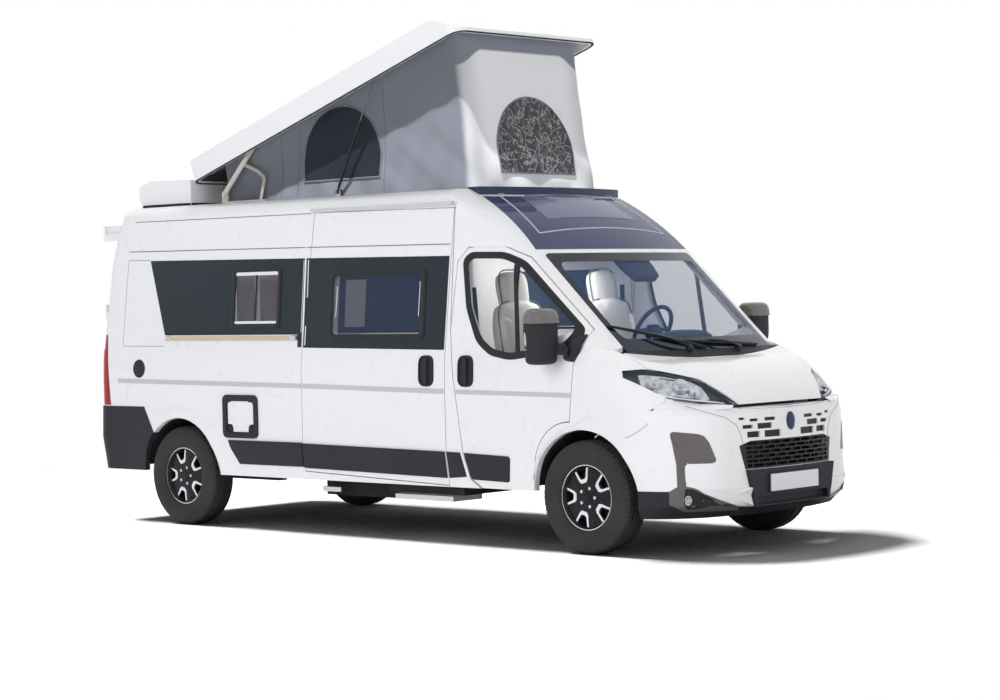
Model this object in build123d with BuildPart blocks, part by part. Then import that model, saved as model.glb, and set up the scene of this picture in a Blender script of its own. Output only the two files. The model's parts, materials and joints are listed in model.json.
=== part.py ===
"""Camper van: a long high-roof panel van with a rear-hinged pop-up roof, its tent and its lift linkage.

Frame: X forward, Y to the left, Z up, the ground at z = 0, the origin below the middle of the van.
Lengths are in millimetres. "Right" is -Y, the side with the sliding door.
"""
from build123d import *
import math
import os

os.makedirs("parts", exist_ok=True)

# ---------------------------------------------------------------- driving dimensions
LENGTH = 5998.0                  # bumper to bumper
HALF_LENGTH = LENGTH / 2
HALF_WIDTH = 1025.0              # widest line of the side
WAIST_Z = 1180.0                 # above this the sides lean inwards
TUMBLEHOME = 0.087               # inward lean of the sides per millimetre of height
SILL_Z = 395.0                   # lower edge of the body sides
WALL = 45.0                      # thickness of a side wall or a door
GLASS = 6.0                      # thickness of a window pane
TRIM = 12.0                      # how far trims stand off the skin
GAP = 6.0                        # joint gap round doors, lids and lamps
SEAT = 0.3                       # clearance between a piece and what carries it

# roof
DRIP_Z = 2335.0                  # drip rail, where side and roof meet
ROOF_EDGE_Y = 760.0              # half width of the flat roof
ROOF_EDGE_Z = 2430.0
ROOF_Z = 2438.0                  # roof height on the centre line
ROOF_FRONT_X = 880.0             # seam between roof and cab, above the B-pillar

# rear
REAR_X = -2960.0                 # rear door skin below the waist
REAR_CORNER_R = 120.0
REAR_DOOR_HALF = 868.0           # outer edge of a rear door
REAR_DOOR_Z = (560.0, 2300.0)

# nose: bonnet line on the centre line
BONNET_REAR = (2400.0, 1253.0)
BONNET_MID = (2720.0, 1125.0)
BONNET_FRONT = (2905.0, 945.0)

# windscreen: its side edge runs up and back along one straight line
SCREEN_HALF = 790.0
SCREEN_SAG = 116.0               # how far its middle stands ahead of its side edges
SCREEN_TOP = (1518.0, 1974.0)    # side edge, x and z
SCREEN_SLOPE = 1.069             # run of the side edge per millimetre of drop
SCREEN_FOOT_Z = 1250.0

# wheels and axles
TYRE_R = 372.0
TYRE_WIDTH = 225.0
RIM_R = 216.0
FRONT_AXLE_X = 2051.0
REAR_AXLE_X = -1984.0
FRONT_TRACK = 1810.0
REAR_TRACK = 1790.0
ARCH_R = 440.0                   # wheel arch cut round each axle
LINER = 8.0
KINGPIN_Y = 800.0


def side_half(z):
    """Half width of the body side at height z."""
    if z >= WAIST_Z:
        return HALF_WIDTH - TUMBLEHOME * (z - WAIST_Z)
    return HALF_WIDTH - 32.0 * max(0.0, (620.0 - z) / 225.0) ** 2


def screen_x(z):
    """X of the windscreen's side edge at height z."""
    return SCREEN_TOP[0] + (SCREEN_TOP[1] - z) * SCREEN_SLOPE


# ---------------------------------------------------------------- outer form of the body
# Plan sections from the sill to the roof, stacked in four lofts.
# Columns: height, x of the nose on the centre line, half width and sagitta of the nose arc, x of the rear
LOWER_SECTIONS = [
    (SILL_Z, 2990.0, 620.0, 75.0, REAR_X),
    (620.0, 2974.0, 620.0, 75.0, REAR_X),
    (900.0, 2962.0, 620.0, 75.0, REAR_X),
]
BONNET_SECTIONS = [
    (900.0, 2962.0, 620.0, 75.0, REAR_X),
    (1130.0, 2780.0, 640.0, 88.0, REAR_X),
    (1330.0, screen_x(1330.0) + SCREEN_SAG, SCREEN_HALF, SCREEN_SAG, REAR_X),
]
SCREEN_SECTIONS = [
    (SCREEN_FOOT_Z, screen_x(SCREEN_FOOT_Z) + SCREEN_SAG, SCREEN_HALF, SCREEN_SAG, REAR_X),
    (SCREEN_TOP[1], SCREEN_TOP[0] + SCREEN_SAG, SCREEN_HALF, SCREEN_SAG, REAR_X + 62.0),
]
SKY_SECTIONS = [
    (SCREEN_TOP[1], SCREEN_TOP[0] + SCREEN_SAG, SCREEN_HALF, SCREEN_SAG, REAR_X + 62.0),
    (2210.0, 1340.0, 775.0, 112.0, REAR_X + 122.0),
    (2470.0, 830.0, 720.0, 100.0, REAR_X + 232.0),
]


def plan_face(z, nose_x, arc_half, sagitta, half, rear_x, rear_r):
    """Plan section at height z: nose arc, tangent corner arcs, straight sides and rounded rear corners."""
    nose_r = arc_half ** 2 / (2 * sagitta) + sagitta / 2
    sin_b = arc_half / nose_r
    cos_b = math.sqrt(1 - sin_b ** 2)
    corner_r = (half - arc_half) / (1 - sin_b)
    edge_x = nose_x - sagitta
    corner_x = edge_x - corner_r * cos_b
    turn = math.asin(sin_b) / 2 + math.pi / 4
    mid = (corner_x + corner_r * math.cos(turn), half - corner_r + corner_r * math.sin(turn))
    rear_mid = rear_r * (1 - math.sqrt(0.5))
    with BuildSketch(Plane.XY.offset(z)) as section:
        with BuildLine():
            ThreePointArc((edge_x, -arc_half), (nose_x, 0), (edge_x, arc_half))
            ThreePointArc((edge_x, arc_half), mid, (corner_x, half))
            Line((corner_x, half), (rear_x + rear_r, half))
            ThreePointArc((rear_x + rear_r, half), (rear_x + rear_mid, half - rear_mid), (rear_x, half - rear_r))
            Line((rear_x, half - rear_r), (rear_x, rear_r - half))
            ThreePointArc((rear_x, rear_r - half), (rear_x + rear_mid, rear_mid - half), (rear_x + rear_r, -half))
            Line((rear_x + rear_r, -half), (corner_x, -half))
            ThreePointArc((corner_x, -half), (mid[0], -mid[1]), (edge_x, -arc_half))
        make_face()
    return section.sketch


def section_stack(sections, inset):
    """The faces of a stack of plan sections, all drawn in by the inset."""
    return [plan_face(z, nose_x - 1.3 * inset, arc_half - 0.8 * inset, sagitta,
                      side_half(z) - inset, rear_x + inset, REAR_CORNER_R - inset)
            for z, nose_x, arc_half, sagitta, rear_x in sections]


def body_form(inset):
    """The van's closed outer form, drawn in by the inset: its skin, or the inner face of its walls."""
    with BuildPart() as nose:
        loft(section_stack(BONNET_SECTIONS, inset))
        with BuildSketch(Plane.XZ.offset(-HALF_WIDTH - 200)):
            with BuildLine():
                rear = (BONNET_REAR[0] - inset * 0.4, BONNET_REAR[1] - inset)
                middle = (BONNET_MID[0] - inset * 0.5, BONNET_MID[1] - inset * 0.9)
                front = (BONNET_FRONT[0] - inset * 0.9, BONNET_FRONT[1] - inset * 0.6)
                slope_end = (rear[0] - 400, rear[1] + 160)
                Line((-HALF_LENGTH - 100, 850), (HALF_LENGTH + 100, 850))
                Line((HALF_LENGTH + 100, 850), (HALF_LENGTH + 100, 890))
                Line((HALF_LENGTH + 100, 890), front)
                ThreePointArc(front, middle, rear)
                Line(rear, slope_end)
                Line(slope_end, (-HALF_LENGTH - 100, slope_end[1]))
                Line((-HALF_LENGTH - 100, slope_end[1]), (-HALF_LENGTH - 100, 850))
            make_face()
        extrude(amount=2 * HALF_WIDTH + 400, mode=Mode.INTERSECT)
    with BuildPart() as lower:
        loft(section_stack(LOWER_SECTIONS, inset), ruled=True)
    with BuildPart() as screen:
        loft(section_stack(SCREEN_SECTIONS, inset), ruled=True)
    with BuildPart() as sky:
        loft(section_stack(SKY_SECTIONS, inset))
    with BuildPart() as form:
        add(lower.part)
        add(nose.part)
        add(screen.part)
        add(sky.part)
        with BuildSketch(Plane.YZ.offset(-HALF_LENGTH - 100)):
            with BuildLine():
                drip_y = side_half(DRIP_Z) - inset
                edge = (ROOF_EDGE_Y, ROOF_EDGE_Z - inset)
                shoulder = (drip_y - 45, DRIP_Z - inset * 0.6 + 62)
                Line((-1200, 300), (1200, 300))
                Line((1200, 300), (1200, DRIP_Z - 130))
                Line((1200, DRIP_Z - 130), (drip_y, DRIP_Z - inset * 0.6))
                ThreePointArc((drip_y, DRIP_Z - inset * 0.6), shoulder, edge)
                ThreePointArc(edge, (0, ROOF_Z - inset), (-edge[0], edge[1]))
                ThreePointArc((-edge[0], edge[1]), (-shoulder[0], shoulder[1]), (-drip_y, DRIP_Z - inset * 0.6))
                Line((-drip_y, DRIP_Z - inset * 0.6), (-1200, DRIP_Z - 130))
                Line((-1200, DRIP_Z - 130), (-1200, 300))
            make_face()
        extrude(amount=LENGTH + 200, mode=Mode.INTERSECT)
    return form.part


outer = body_form(0.0)
inner = body_form(WALL)
glass_inner = body_form(GLASS)
trim_outer = body_form(-TRIM)
with BuildPart() as shell:
    add(outer)
    add(inner, mode=Mode.SUBTRACT)
with BuildPart() as pane_shell:
    add(outer)
    add(glass_inner, mode=Mode.SUBTRACT)
with BuildPart() as trim_shell:
    add(trim_outer)
    add(outer, mode=Mode.SUBTRACT)

# ---------------------------------------------------------------- outlines shared by several pieces
# Side outlines are drawn in x and z; both sides of the van use them.
SLIDE_DOOR = [(-597, 457), (830, 408), (829, 1300), (866, 2292), (-520, 2310), (-597, 1300)]
SLIDE_WINDOW = (-302.0, 604.0, 1424.0, 1868.0)
REAR_WINDOW = (-1361.0, -870.0, 1507.0, 1913.0)
DOOR_LOW = [(925, 1930), (880, 1464), (912, 1162), (988, 667), (1040, 464), (1146, 398), (1600, 398)]
DOOR_ARCH = [(1640, 600), (1740, 786), (1945, 864)]
DOOR_HIGH = [(1972, 1100), (1988, 1239), (2030, 1310), (2036, 1455), (1508, 1940), (1350, 2012), (1020, 2018)]
DOOR_WINDOW = [(1993, 1463), (1483, 1904), (1343, 1958), (1050, 1966), (993, 1925), (1039, 1614),
               (1139, 1400), (1259, 1314), (1423, 1284)]
HATCH = (-1413.0, -1123.0, 721.0, 945.0)
HATCH_FRAME = (-1460.0, -1074.0, 678.0, 997.0)
LAMP_SIDE = [(-3100, 900), (-2795, 900), (-2840, 1448), (-3100, 1448)]   # tail lamp
LAMP_Y = 908.0                                 # inner edge of a tail lamp
BUMPER_TOP = 893.0
REAR_STEP_Z = 545.0                            # top of the rear bumper between its corners
# Front outlines are drawn in y and z, right half: lamp, and bonnet edge round it.
LAMP = [(446, 958), (614, 1122), (880, 1196), (960, 1188), (975, 1150), (915, 1060), (820, 984)]
BONNET_EDGE = [(450, 962), (612, 1128), (856, 1203), (852, 1400)]
SIDE_REACH = 1300.0                            # how far side cuts reach out from the middle


def side_region(points, side, grow=0.0, start=600.0, reach=SIDE_REACH):
    """Prism across one side of the van with the given x-z outline; side is -1 right, +1 left."""
    with BuildPart() as prism:
        with BuildSketch(Plane.XZ.offset(start if side < 0 else -reach)):
            with BuildLine():
                Polyline(*points, close=True)
            make_face()
            if grow:
                offset(amount=grow, kind=Kind.INTERSECTION)
        extrude(amount=reach - start)
    return prism.part


def door_region(side, grow=0.0):
    """Prism of a cab door's outline, whose lower front edge follows the wheel arch."""
    with BuildPart() as prism:
        with BuildSketch(Plane.XZ.offset(600 if side < 0 else -SIDE_REACH)):
            with BuildLine():
                Polyline(*DOOR_LOW, DOOR_ARCH[0])
                ThreePointArc(*DOOR_ARCH)
                Polyline(DOOR_ARCH[2], *DOOR_HIGH, DOOR_LOW[0])
            make_face()
            if grow:
                offset(amount=grow, kind=Kind.INTERSECTION)
        extrude(amount=SIDE_REACH - 600)
    return prism.part


def side_window(window, side, grow=0.0, radius=60.0, start=600.0):
    """Prism of a rounded rectangular side window, given as x low, x high, z low, z high."""
    x0, x1, z0, z1 = window
    with BuildPart() as prism:
        with BuildSketch(Plane.XZ.offset(start if side < 0 else -SIDE_REACH)):
            with Locations(((x0 + x1) / 2, (z0 + z1) / 2)):
                RectangleRounded(x1 - x0 + 2 * grow, z1 - z0 + 2 * grow, radius + grow)
        extrude(amount=SIDE_REACH - start)
    return prism.part


def front_region(points, x0, x1, grow=0.0):
    """Prism along the van with the given y-z outline, from x0 to x1."""
    with BuildPart() as prism:
        with BuildSketch(Plane.YZ.offset(x0)):
            with BuildLine():
                Polyline(*points, close=True)
            make_face()
            if grow:
                offset(amount=grow, kind=Kind.INTERSECTION)
        extrude(amount=x1 - x0)
    return prism.part


def box_region(x0, x1, y0, y1, z0, z1):
    """Plain box between two corners."""
    with BuildPart() as block:
        with Locations(((x0 + x1) / 2, (y0 + y1) / 2, (z0 + z1) / 2)):
            Box(x1 - x0, y1 - y0, z1 - z0)
    return block.part


def arch_cylinder(axle_x, side, radius, inner_y=560.0):
    """Wheel arch cutter round one axle end."""
    with BuildPart() as cutter:
        with Locations(Location((axle_x, side * (inner_y + SIDE_REACH) / 2, TYRE_R), (90, 0, 0))):
            Cylinder(radius, SIDE_REACH - inner_y)
    return cutter.part


def write(piece, label):
    """Label a finished piece and write its STEP file."""
    piece.part.label = label
    export_step(piece.part, f"parts/{label}.step")
    print(label, len(piece.solids()), piece.part.is_valid, round(piece.part.volume / 1e6, 2))


def mirrored(points):
    """The same outline on the other side of the centre line."""
    return [(-y, z) for y, z in points]


REAR_HINGE = (-2985.0, 893.0)                  # x and y of a rear door's hinge line
REAR_HINGE_R = 11.0
HINGE_LEAF = 60.0                              # height of a hinge leaf
REAR_SWEEP = 889.5                             # a rear door keeps inside this radius, so the pair can cross over
REAR_HINGES_Z = (985.0, 1560.0, 2180.0)


def rear_hinge(side, low, leaf_y):
    """Knuckle on a rear door's hinge line with the leaf that joins it to the skin, at height low."""
    y0, y1 = sorted((side * leaf_y[0], side * leaf_y[1]))
    with BuildPart() as hinge:
        with Locations((REAR_HINGE[0], side * REAR_HINGE[1], low + HINGE_LEAF / 2)):
            Cylinder(REAR_HINGE_R, HINGE_LEAF)
        add(box_region(REAR_HINGE[0], REAR_X + 250, y0, y1, low, low + HINGE_LEAF))
        add(inner, mode=Mode.SUBTRACT)
    return hinge.part


# ---------------------------------------------------------------- side walls and sliding door
REAR_DOOR_GAP = REAR_DOOR_HALF + GAP
WALL_OUTLINE = [(-3100, SILL_Z - 10), (1130, SILL_Z - 10), (1034, 455), (982, 660), (906, 1160), (872, 1464),
                (872, DRIP_Z), (-3100, DRIP_Z)]
REAR_BUMPER_SIDE = [(-3100, 380), (-2282, 380), (-2282, 700), (-2390, BUMPER_TOP), (-3100, BUMPER_TOP)]
for side, label in ((-1, "side_wall_right"), (1, "side_wall_left")):
    with BuildPart() as side_wall:
        add(shell.part)
        add(side_region(WALL_OUTLINE, side, start=REAR_DOOR_GAP), mode=Mode.INTERSECT)
        add(arch_cylinder(REAR_AXLE_X, side, ARCH_R), mode=Mode.SUBTRACT)
        add(side_region(REAR_BUMPER_SIDE, side, grow=0.3), mode=Mode.SUBTRACT)
        add(side_region(LAMP_SIDE, side, grow=SEAT, start=LAMP_Y - SEAT), mode=Mode.SUBTRACT)
        add(side_window(REAR_WINDOW, side), mode=Mode.SUBTRACT)
        for hinge_z in REAR_HINGES_Z:
            add(rear_hinge(side, hinge_z, (REAR_HINGE[1] - 9, REAR_HINGE[1] + 5)))
        if side < 0:
            add(side_region(SLIDE_DOOR, side, grow=GAP), mode=Mode.SUBTRACT)
            add(side_window(HATCH, side, grow=GAP, radius=30), mode=Mode.SUBTRACT)
        else:
            add(side_window(SLIDE_WINDOW, side), mode=Mode.SUBTRACT)
    write(side_wall, label)

with BuildPart() as sliding_door:
    add(shell.part)
    add(side_region(SLIDE_DOOR, -1), mode=Mode.INTERSECT)
    add(side_window(SLIDE_WINDOW, -1), mode=Mode.SUBTRACT)
write(sliding_door, "sliding_door")

with BuildPart() as side_windows:
    for side in (-1, 1):
        for window in (REAR_WINDOW, SLIDE_WINDOW):
            with BuildPart(mode=Mode.PRIVATE) as pane:
                add(pane_shell.part)
                add(side_window(window, side, grow=-SEAT), mode=Mode.INTERSECT)
            add(pane.part)
write(side_windows, "side_windows")

with BuildPart() as tail_lamps:
    for side in (-1, 1):
        with BuildPart(mode=Mode.PRIVATE) as lamp:
            add(shell.part)
            add(side_region(LAMP_SIDE, side, start=LAMP_Y), mode=Mode.INTERSECT)
        add(lamp.part)
write(tail_lamps, "tail_lamps")

# ---------------------------------------------------------------- roof
OPENING = (-1840.0, 790.0, 600.0)              # opening below the tent: x low, x high, half width
with BuildPart() as roof_panel:
    add(shell.part)
    with BuildPart(mode=Mode.PRIVATE) as roof_zone:
        add(box_region(-3100, ROOF_FRONT_X, -1100, 1100, DRIP_Z, 2500))
        add(box_region(-3100, -2600, -REAR_DOOR_GAP, REAR_DOOR_GAP, REAR_DOOR_Z[1] + GAP, 2500))
    add(roof_zone.part, mode=Mode.INTERSECT)
    add(box_region(OPENING[0], OPENING[1], -OPENING[2], OPENING[2], 2300, 2500), mode=Mode.SUBTRACT)
write(roof_panel, "roof_panel")

# ---------------------------------------------------------------- glass of the cab
SCREEN = [(-772, 1306), (772, 1306), (772, 1950), (740, 1966), (-740, 1966), (-772, 1950)]
SKYROOF = [(-806, 1992), (806, 1992), (738, 2372), (-738, 2372)]
with BuildPart() as windscreen:
    add(pane_shell.part)
    add(front_region(SCREEN, 1300, 2600, grow=-SEAT), mode=Mode.INTERSECT)
write(windscreen, "windscreen")

# The visor is the lip between the skyroof's upper edge and the roof.
VISOR_X = 1030.0
VISOR_Z = (2380.0, 2440.0)
with BuildPart() as skyroof:
    add(pane_shell.part)
    add(front_region(SKYROOF, 860, 2600, grow=-SEAT), mode=Mode.INTERSECT)
write(skyroof, "skyroof")
with BuildPart() as visor:
    with BuildSketch(Plane.XY.offset(VISOR_Z[0])):
        with BuildLine():
            ThreePointArc((VISOR_X - 100, -738), (VISOR_X, 0), (VISOR_X - 100, 738))
            Polyline((VISOR_X - 100, 738), (ROOF_FRONT_X - 60, 738), (ROOF_FRONT_X - 60, -738), (VISOR_X - 100, -738))
        make_face()
    extrude(amount=VISOR_Z[1] - VISOR_Z[0])
    add(outer, mode=Mode.SUBTRACT)
write(visor, "visor")

# ---------------------------------------------------------------- nose
BONNET_LINE = mirrored(BONNET_EDGE)
BONNET_FACE = [*BONNET_EDGE, *reversed(BONNET_LINE)]
COWL = [(-812, 1180), (812, 1180), (812, 1306 - SEAT), (-812, 1306 - SEAT)]
COWL_ARC = [(2282.0, 812.0), (2402.0, 0.0)]    # rear edge of the bonnet: its end and its middle


def ahead_of_cowl(shift):
    """Prism over everything ahead of the bonnet's rear edge, that edge moved forward by the shift."""
    end, middle = COWL_ARC
    with BuildPart() as prism:
        with BuildSketch(Plane.XY.offset(850)):
            with BuildLine():
                ThreePointArc((end[0] + shift, -end[1]), (middle[0] + shift, 0), (end[0] + shift, end[1]))
                Polyline((end[0] + shift, end[1]), (end[0] + shift - 60, 1150), (3100, 1150), (3100, -1150),
                         (end[0] + shift - 60, -1150), (end[0] + shift, -end[1]))
            make_face()
        extrude(amount=700)
    return prism.part


with BuildPart() as bonnet:
    add(shell.part)
    add(front_region(BONNET_FACE, 2200, 3100), mode=Mode.INTERSECT)
    add(ahead_of_cowl(0), mode=Mode.INTERSECT)
write(bonnet, "bonnet")

with BuildPart() as headlamps:
    for outline in (LAMP, mirrored(LAMP)):
        with BuildPart(mode=Mode.PRIVATE) as lamp:
            add(shell.part)
            add(front_region(outline, 2200, 3100), mode=Mode.INTERSECT)
        add(lamp.part)
write(headlamps, "headlamps")

# Grille opening and the dark centre below it, in y and z; the nose skin keeps the row slots above.
GRILLE = [(-500, 700), (-400, 728), (400, 728), (500, 700), (460, 548), (-460, 548)]
CENTRE = [(-460, 545), (460, 545), (430, 396), (405, 306), (-405, 306), (-430, 396)]
SLOTS = [                                       # columns: inner y, outer y, low z, high z
    (158, 262, 850, 872), (322, 398, 850, 868), (440, 492, 864, 880),
    (192, 330, 800, 836), (372, 462, 806, 830),
    (110, 268, 744, 788), (310, 426, 748, 786),
]
BUMPER_Z = 430.0                               # where the painted bumper meets the dark lower part
with BuildPart() as fender_arches:
    for side in (-1, 1):
        add(arch_cylinder(FRONT_AXLE_X, side, ARCH_R))

with BuildPart() as front_bumper:
    add(shell.part)
    add(front_region([(-1100, BUMPER_Z), (1100, BUMPER_Z), (1100, 942), (-1100, 942)], 2051, 3100), mode=Mode.INTERSECT)
    add(fender_arches.part, mode=Mode.SUBTRACT)
    for side in (-1, 1):
        add(side_region([(1900, 300), (2130, 300), (2215, 782), (2340, 782), (2560, 935), (2640, 990), (1900, 990)],
                        side), mode=Mode.SUBTRACT)
    for outline in (LAMP, mirrored(LAMP)):
        add(front_region(outline, 2200, 3100, grow=GAP), mode=Mode.SUBTRACT)
    add(front_region(GRILLE, 2700, 3100), mode=Mode.SUBTRACT)
    add(front_region(CENTRE, 2700, 3100), mode=Mode.SUBTRACT)
    for inner_y, outer_y, low, high in SLOTS:
        for side in (-1, 1):
            y0, y1 = sorted((side * inner_y, side * outer_y))
            add(box_region(2700, 3100, y0, y1, low, high), mode=Mode.SUBTRACT)
write(front_bumper, "front_bumper")

# Grille: bars in rows with offset uprights, one piece with its rim, set back in the opening.
GRILLE_ROWS = 6
with BuildPart() as grille:
    add(shell.part)
    add(front_region(GRILLE, 2700, 3100, grow=-SEAT), mode=Mode.INTERSECT)
    row_height = (728.0 - 548.0 - 12) / GRILLE_ROWS
    with BuildSketch(Plane.YZ.offset(2600)):
        for row in range(GRILLE_ROWS):
            low = 548.0 + 12 + row * row_height
            shift = 0.0 if row % 2 else 55.0
            y_edge = 440.0 + 8.0 * row / GRILLE_ROWS
            for column in range(-5, 5):
                y0 = max(column * 110.0 + shift, -y_edge)
                y1 = min(column * 110.0 + shift + 100.0, y_edge)
                if y1 - y0 > 20:
                    with Locations(((y0 + y1) / 2, low + (row_height - 9) / 2)):
                        Rectangle(y1 - y0, row_height - 9)
    extrude(amount=500, mode=Mode.SUBTRACT)
    add(box_region(2600, 2925, -600, 600, 500, 800), mode=Mode.SUBTRACT)
write(grille, "grille")

# Dark lower bumper: chin and corners below the painted bumper, the number plate panel and the intake.
with BuildPart() as chin:
    loft([plan_face(250.0, 2900.0, 620.0, 90.0, 980.0, 2200.0, 20.0),
          plan_face(330.0, 2975.0, 620.0, 80.0, 1010.0, 2200.0, 20.0),
          plan_face(BUMPER_Z - SEAT, 2988.0, 620.0, 76.0, side_half(BUMPER_Z), 2200.0, 20.0)], ruled=True)
    loft([plan_face(250.0, 2840.0, 560.0, 90.0, 920.0, 2150.0, 20.0),
          plan_face(330.0, 2915.0, 560.0, 80.0, 950.0, 2150.0, 20.0),
          plan_face(BUMPER_Z - SEAT, 2928.0, 560.0, 76.0, side_half(BUMPER_Z) - 60, 2150.0, 20.0)],
         ruled=True, mode=Mode.SUBTRACT)
    add(fender_arches.part, mode=Mode.SUBTRACT)
    add(front_region(CENTRE, 2700, 3100), mode=Mode.SUBTRACT)
    add(box_region(2000, 2600, -860, 860, 200, 500), mode=Mode.SUBTRACT)
with BuildPart() as lower_bumper:
    add(chin.part)
    add(front_region(CENTRE, 2925, 2980, grow=-SEAT))
    add(box_region(2940, 3000, -385, 385, 316, 372), mode=Mode.SUBTRACT)
    add(box_region(2979, 2990, -275, 275, 392, 512))
write(lower_bumper, "lower_bumper")

# ---------------------------------------------------------------- fenders and cab frame
with BuildPart() as fenders:
    for side in (-1, 1):
        with BuildPart(mode=Mode.PRIVATE) as fender:
            add(shell.part)
            add(side_region([(1580, 398), (2060, 398), (2215, 782), (2340, 782), (2560, 935), (2640, 990), (2640, 1330),
                             (2300, 1345), (2215, 1400), (2110, 1318), (1994, 1246), (1940, 1100), (1560, 900)], side),
                mode=Mode.INTERSECT)
            add(door_region(side, grow=GAP), mode=Mode.SUBTRACT)
            add(side_region([(1300, 380), (1500, 380), (1700, 1300), (1300, 1300)], side), mode=Mode.SUBTRACT)
            add(fender_arches.part, mode=Mode.SUBTRACT)
            add(front_region(BONNET_FACE, 2200, 3100, grow=GAP), mode=Mode.SUBTRACT)
            add(front_region(SCREEN, 1300, 2600), mode=Mode.SUBTRACT)
            add(front_region(COWL, 2000, 2600, grow=SEAT), mode=Mode.SUBTRACT)
            for outline in (LAMP, mirrored(LAMP)):
                add(front_region(outline, 2200, 3100, grow=GAP), mode=Mode.SUBTRACT)
        add(fender.part)
write(fenders, "fenders")

with BuildPart() as cab_frame:
    add(shell.part)
    with BuildPart(mode=Mode.PRIVATE) as cab_zone:
        for side in (-1, 1):
            add(side_region([(ROOF_FRONT_X, 2500), (ROOF_FRONT_X, 1500), (1300, 1246), (1994, 1246 + SEAT),
                             (2110, 1318 + SEAT), (2240, 1420), (2290, 2500)], side, start=0.0))
    add(cab_zone.part, mode=Mode.INTERSECT)
    for side in (-1, 1):
        add(door_region(side, grow=GAP), mode=Mode.SUBTRACT)
    add(front_region(SCREEN, 1300, 2600), mode=Mode.SUBTRACT)
    add(front_region(SKYROOF, 860, 2600), mode=Mode.SUBTRACT)
    add(box_region(2000, 2600, -815, 815, 1200, 1306), mode=Mode.SUBTRACT)
write(cab_frame, "cab_frame")

with BuildPart() as cowl:
    add(shell.part)
    add(front_region(COWL, 2000, 2600), mode=Mode.INTERSECT)
    add(ahead_of_cowl(-GAP), mode=Mode.SUBTRACT)
write(cowl, "cowl")

# ---------------------------------------------------------------- cab doors with their panes and mirrors
MIRROR_HEAD = (1829.0, 1147.0, 1416.0)         # centre of the right head; y is the distance from the middle
MIRROR_SIZE = (170.0, 205.0, 360.0)
MIRROR_FOOT = [(1905, 1268), (1982, 1250), (2024, 1316), (2030, 1440), (1965, 1400)]
for side, tag in ((-1, "right"), (1, "left")):
    with BuildPart() as cab_door:
        add(shell.part)
        add(door_region(side), mode=Mode.INTERSECT)
        add(side_region(DOOR_WINDOW, side), mode=Mode.SUBTRACT)
    write(cab_door, f"cab_door_{tag}")
    with BuildPart() as cab_glass:
        add(pane_shell.part)
        add(side_region(DOOR_WINDOW, side, grow=-SEAT), mode=Mode.INTERSECT)
    write(cab_glass, f"cab_glass_{tag}")
    with BuildPart() as mirror:
        foot_y = side_half(1340) + 34
        add(side_region(MIRROR_FOOT, side, reach=foot_y))
        add(outer, mode=Mode.SUBTRACT)
        x, y, z = MIRROR_HEAD
        y0, y1 = sorted((side * (foot_y - 14), side * (y - MIRROR_SIZE[1] / 2 + 10)))
        add(box_region(x + 30, 1985, y0, y1, 1290, 1390))
        with Locations((x, side * y, z)):
            Box(*MIRROR_SIZE)
        fillet(mirror.edges().filter_by(Axis.Z).filter_by_position(Axis.Y, min(side * (y + MIRROR_SIZE[1] / 2 - 1),
               side * (y + MIRROR_SIZE[1] / 2 + 1)), max(side * (y + MIRROR_SIZE[1] / 2 - 1),
               side * (y + MIRROR_SIZE[1] / 2 + 1))), 40)
    write(mirror, f"mirror_{tag}")

# ---------------------------------------------------------------- rear doors and rear bumper
REAR_GLASS = (150.0, 742.0, 1440.0, 1960.0)    # rear pane: inner y, outer y, low z, high z
for side, tag in ((-1, "right"), (1, "left")):
    y_near, y_far, low, high = REAR_GLASS
    with BuildPart() as pane_zone:
        with BuildSketch(Plane.YZ.offset(-3100)):
            with Locations((side * (y_near + y_far) / 2, (low + high) / 2)):
                RectangleRounded(y_far - y_near, high - low, 60)
        extrude(amount=500)
    with BuildPart() as rear_door:
        add(shell.part)
        y0, y1 = sorted((side * GAP / 2, side * REAR_DOOR_HALF))
        add(box_region(-3100, -2600, y0, y1, *REAR_DOOR_Z), mode=Mode.INTERSECT)
        add(pane_zone.part, mode=Mode.SUBTRACT)
        with Locations((REAR_HINGE[0], side * REAR_HINGE[1], sum(REAR_DOOR_Z) / 2)):
            Cylinder(REAR_SWEEP, 2000, mode=Mode.INTERSECT)
        bridge_y0, bridge_y1 = sorted((side * (REAR_DOOR_HALF - 1), side * REAR_HINGE[1]))
        for hinge_z in REAR_HINGES_Z:
            leaf_z = hinge_z + HINGE_LEAF + SEAT
            add(rear_hinge(side, leaf_z, (REAR_DOOR_HALF - 25, REAR_DOOR_HALF)))
            add(box_region(REAR_HINGE[0] - 9, REAR_HINGE[0] + 9, bridge_y0, bridge_y1, leaf_z, leaf_z + HINGE_LEAF))
    write(rear_door, f"rear_door_{tag}")
    with BuildPart() as rear_glass:
        add(pane_shell.part)
        with BuildPart(mode=Mode.PRIVATE) as pane_cut:
            with BuildSketch(Plane.YZ.offset(-3100)):
                with Locations((side * (y_near + y_far) / 2, (low + high) / 2)):
                    RectangleRounded(y_far - y_near - 2 * SEAT, high - low - 2 * SEAT, 60 - SEAT)
            extrude(amount=500)
        add(pane_cut.part, mode=Mode.INTERSECT)
    write(rear_glass, f"rear_glass_{tag}")

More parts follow.
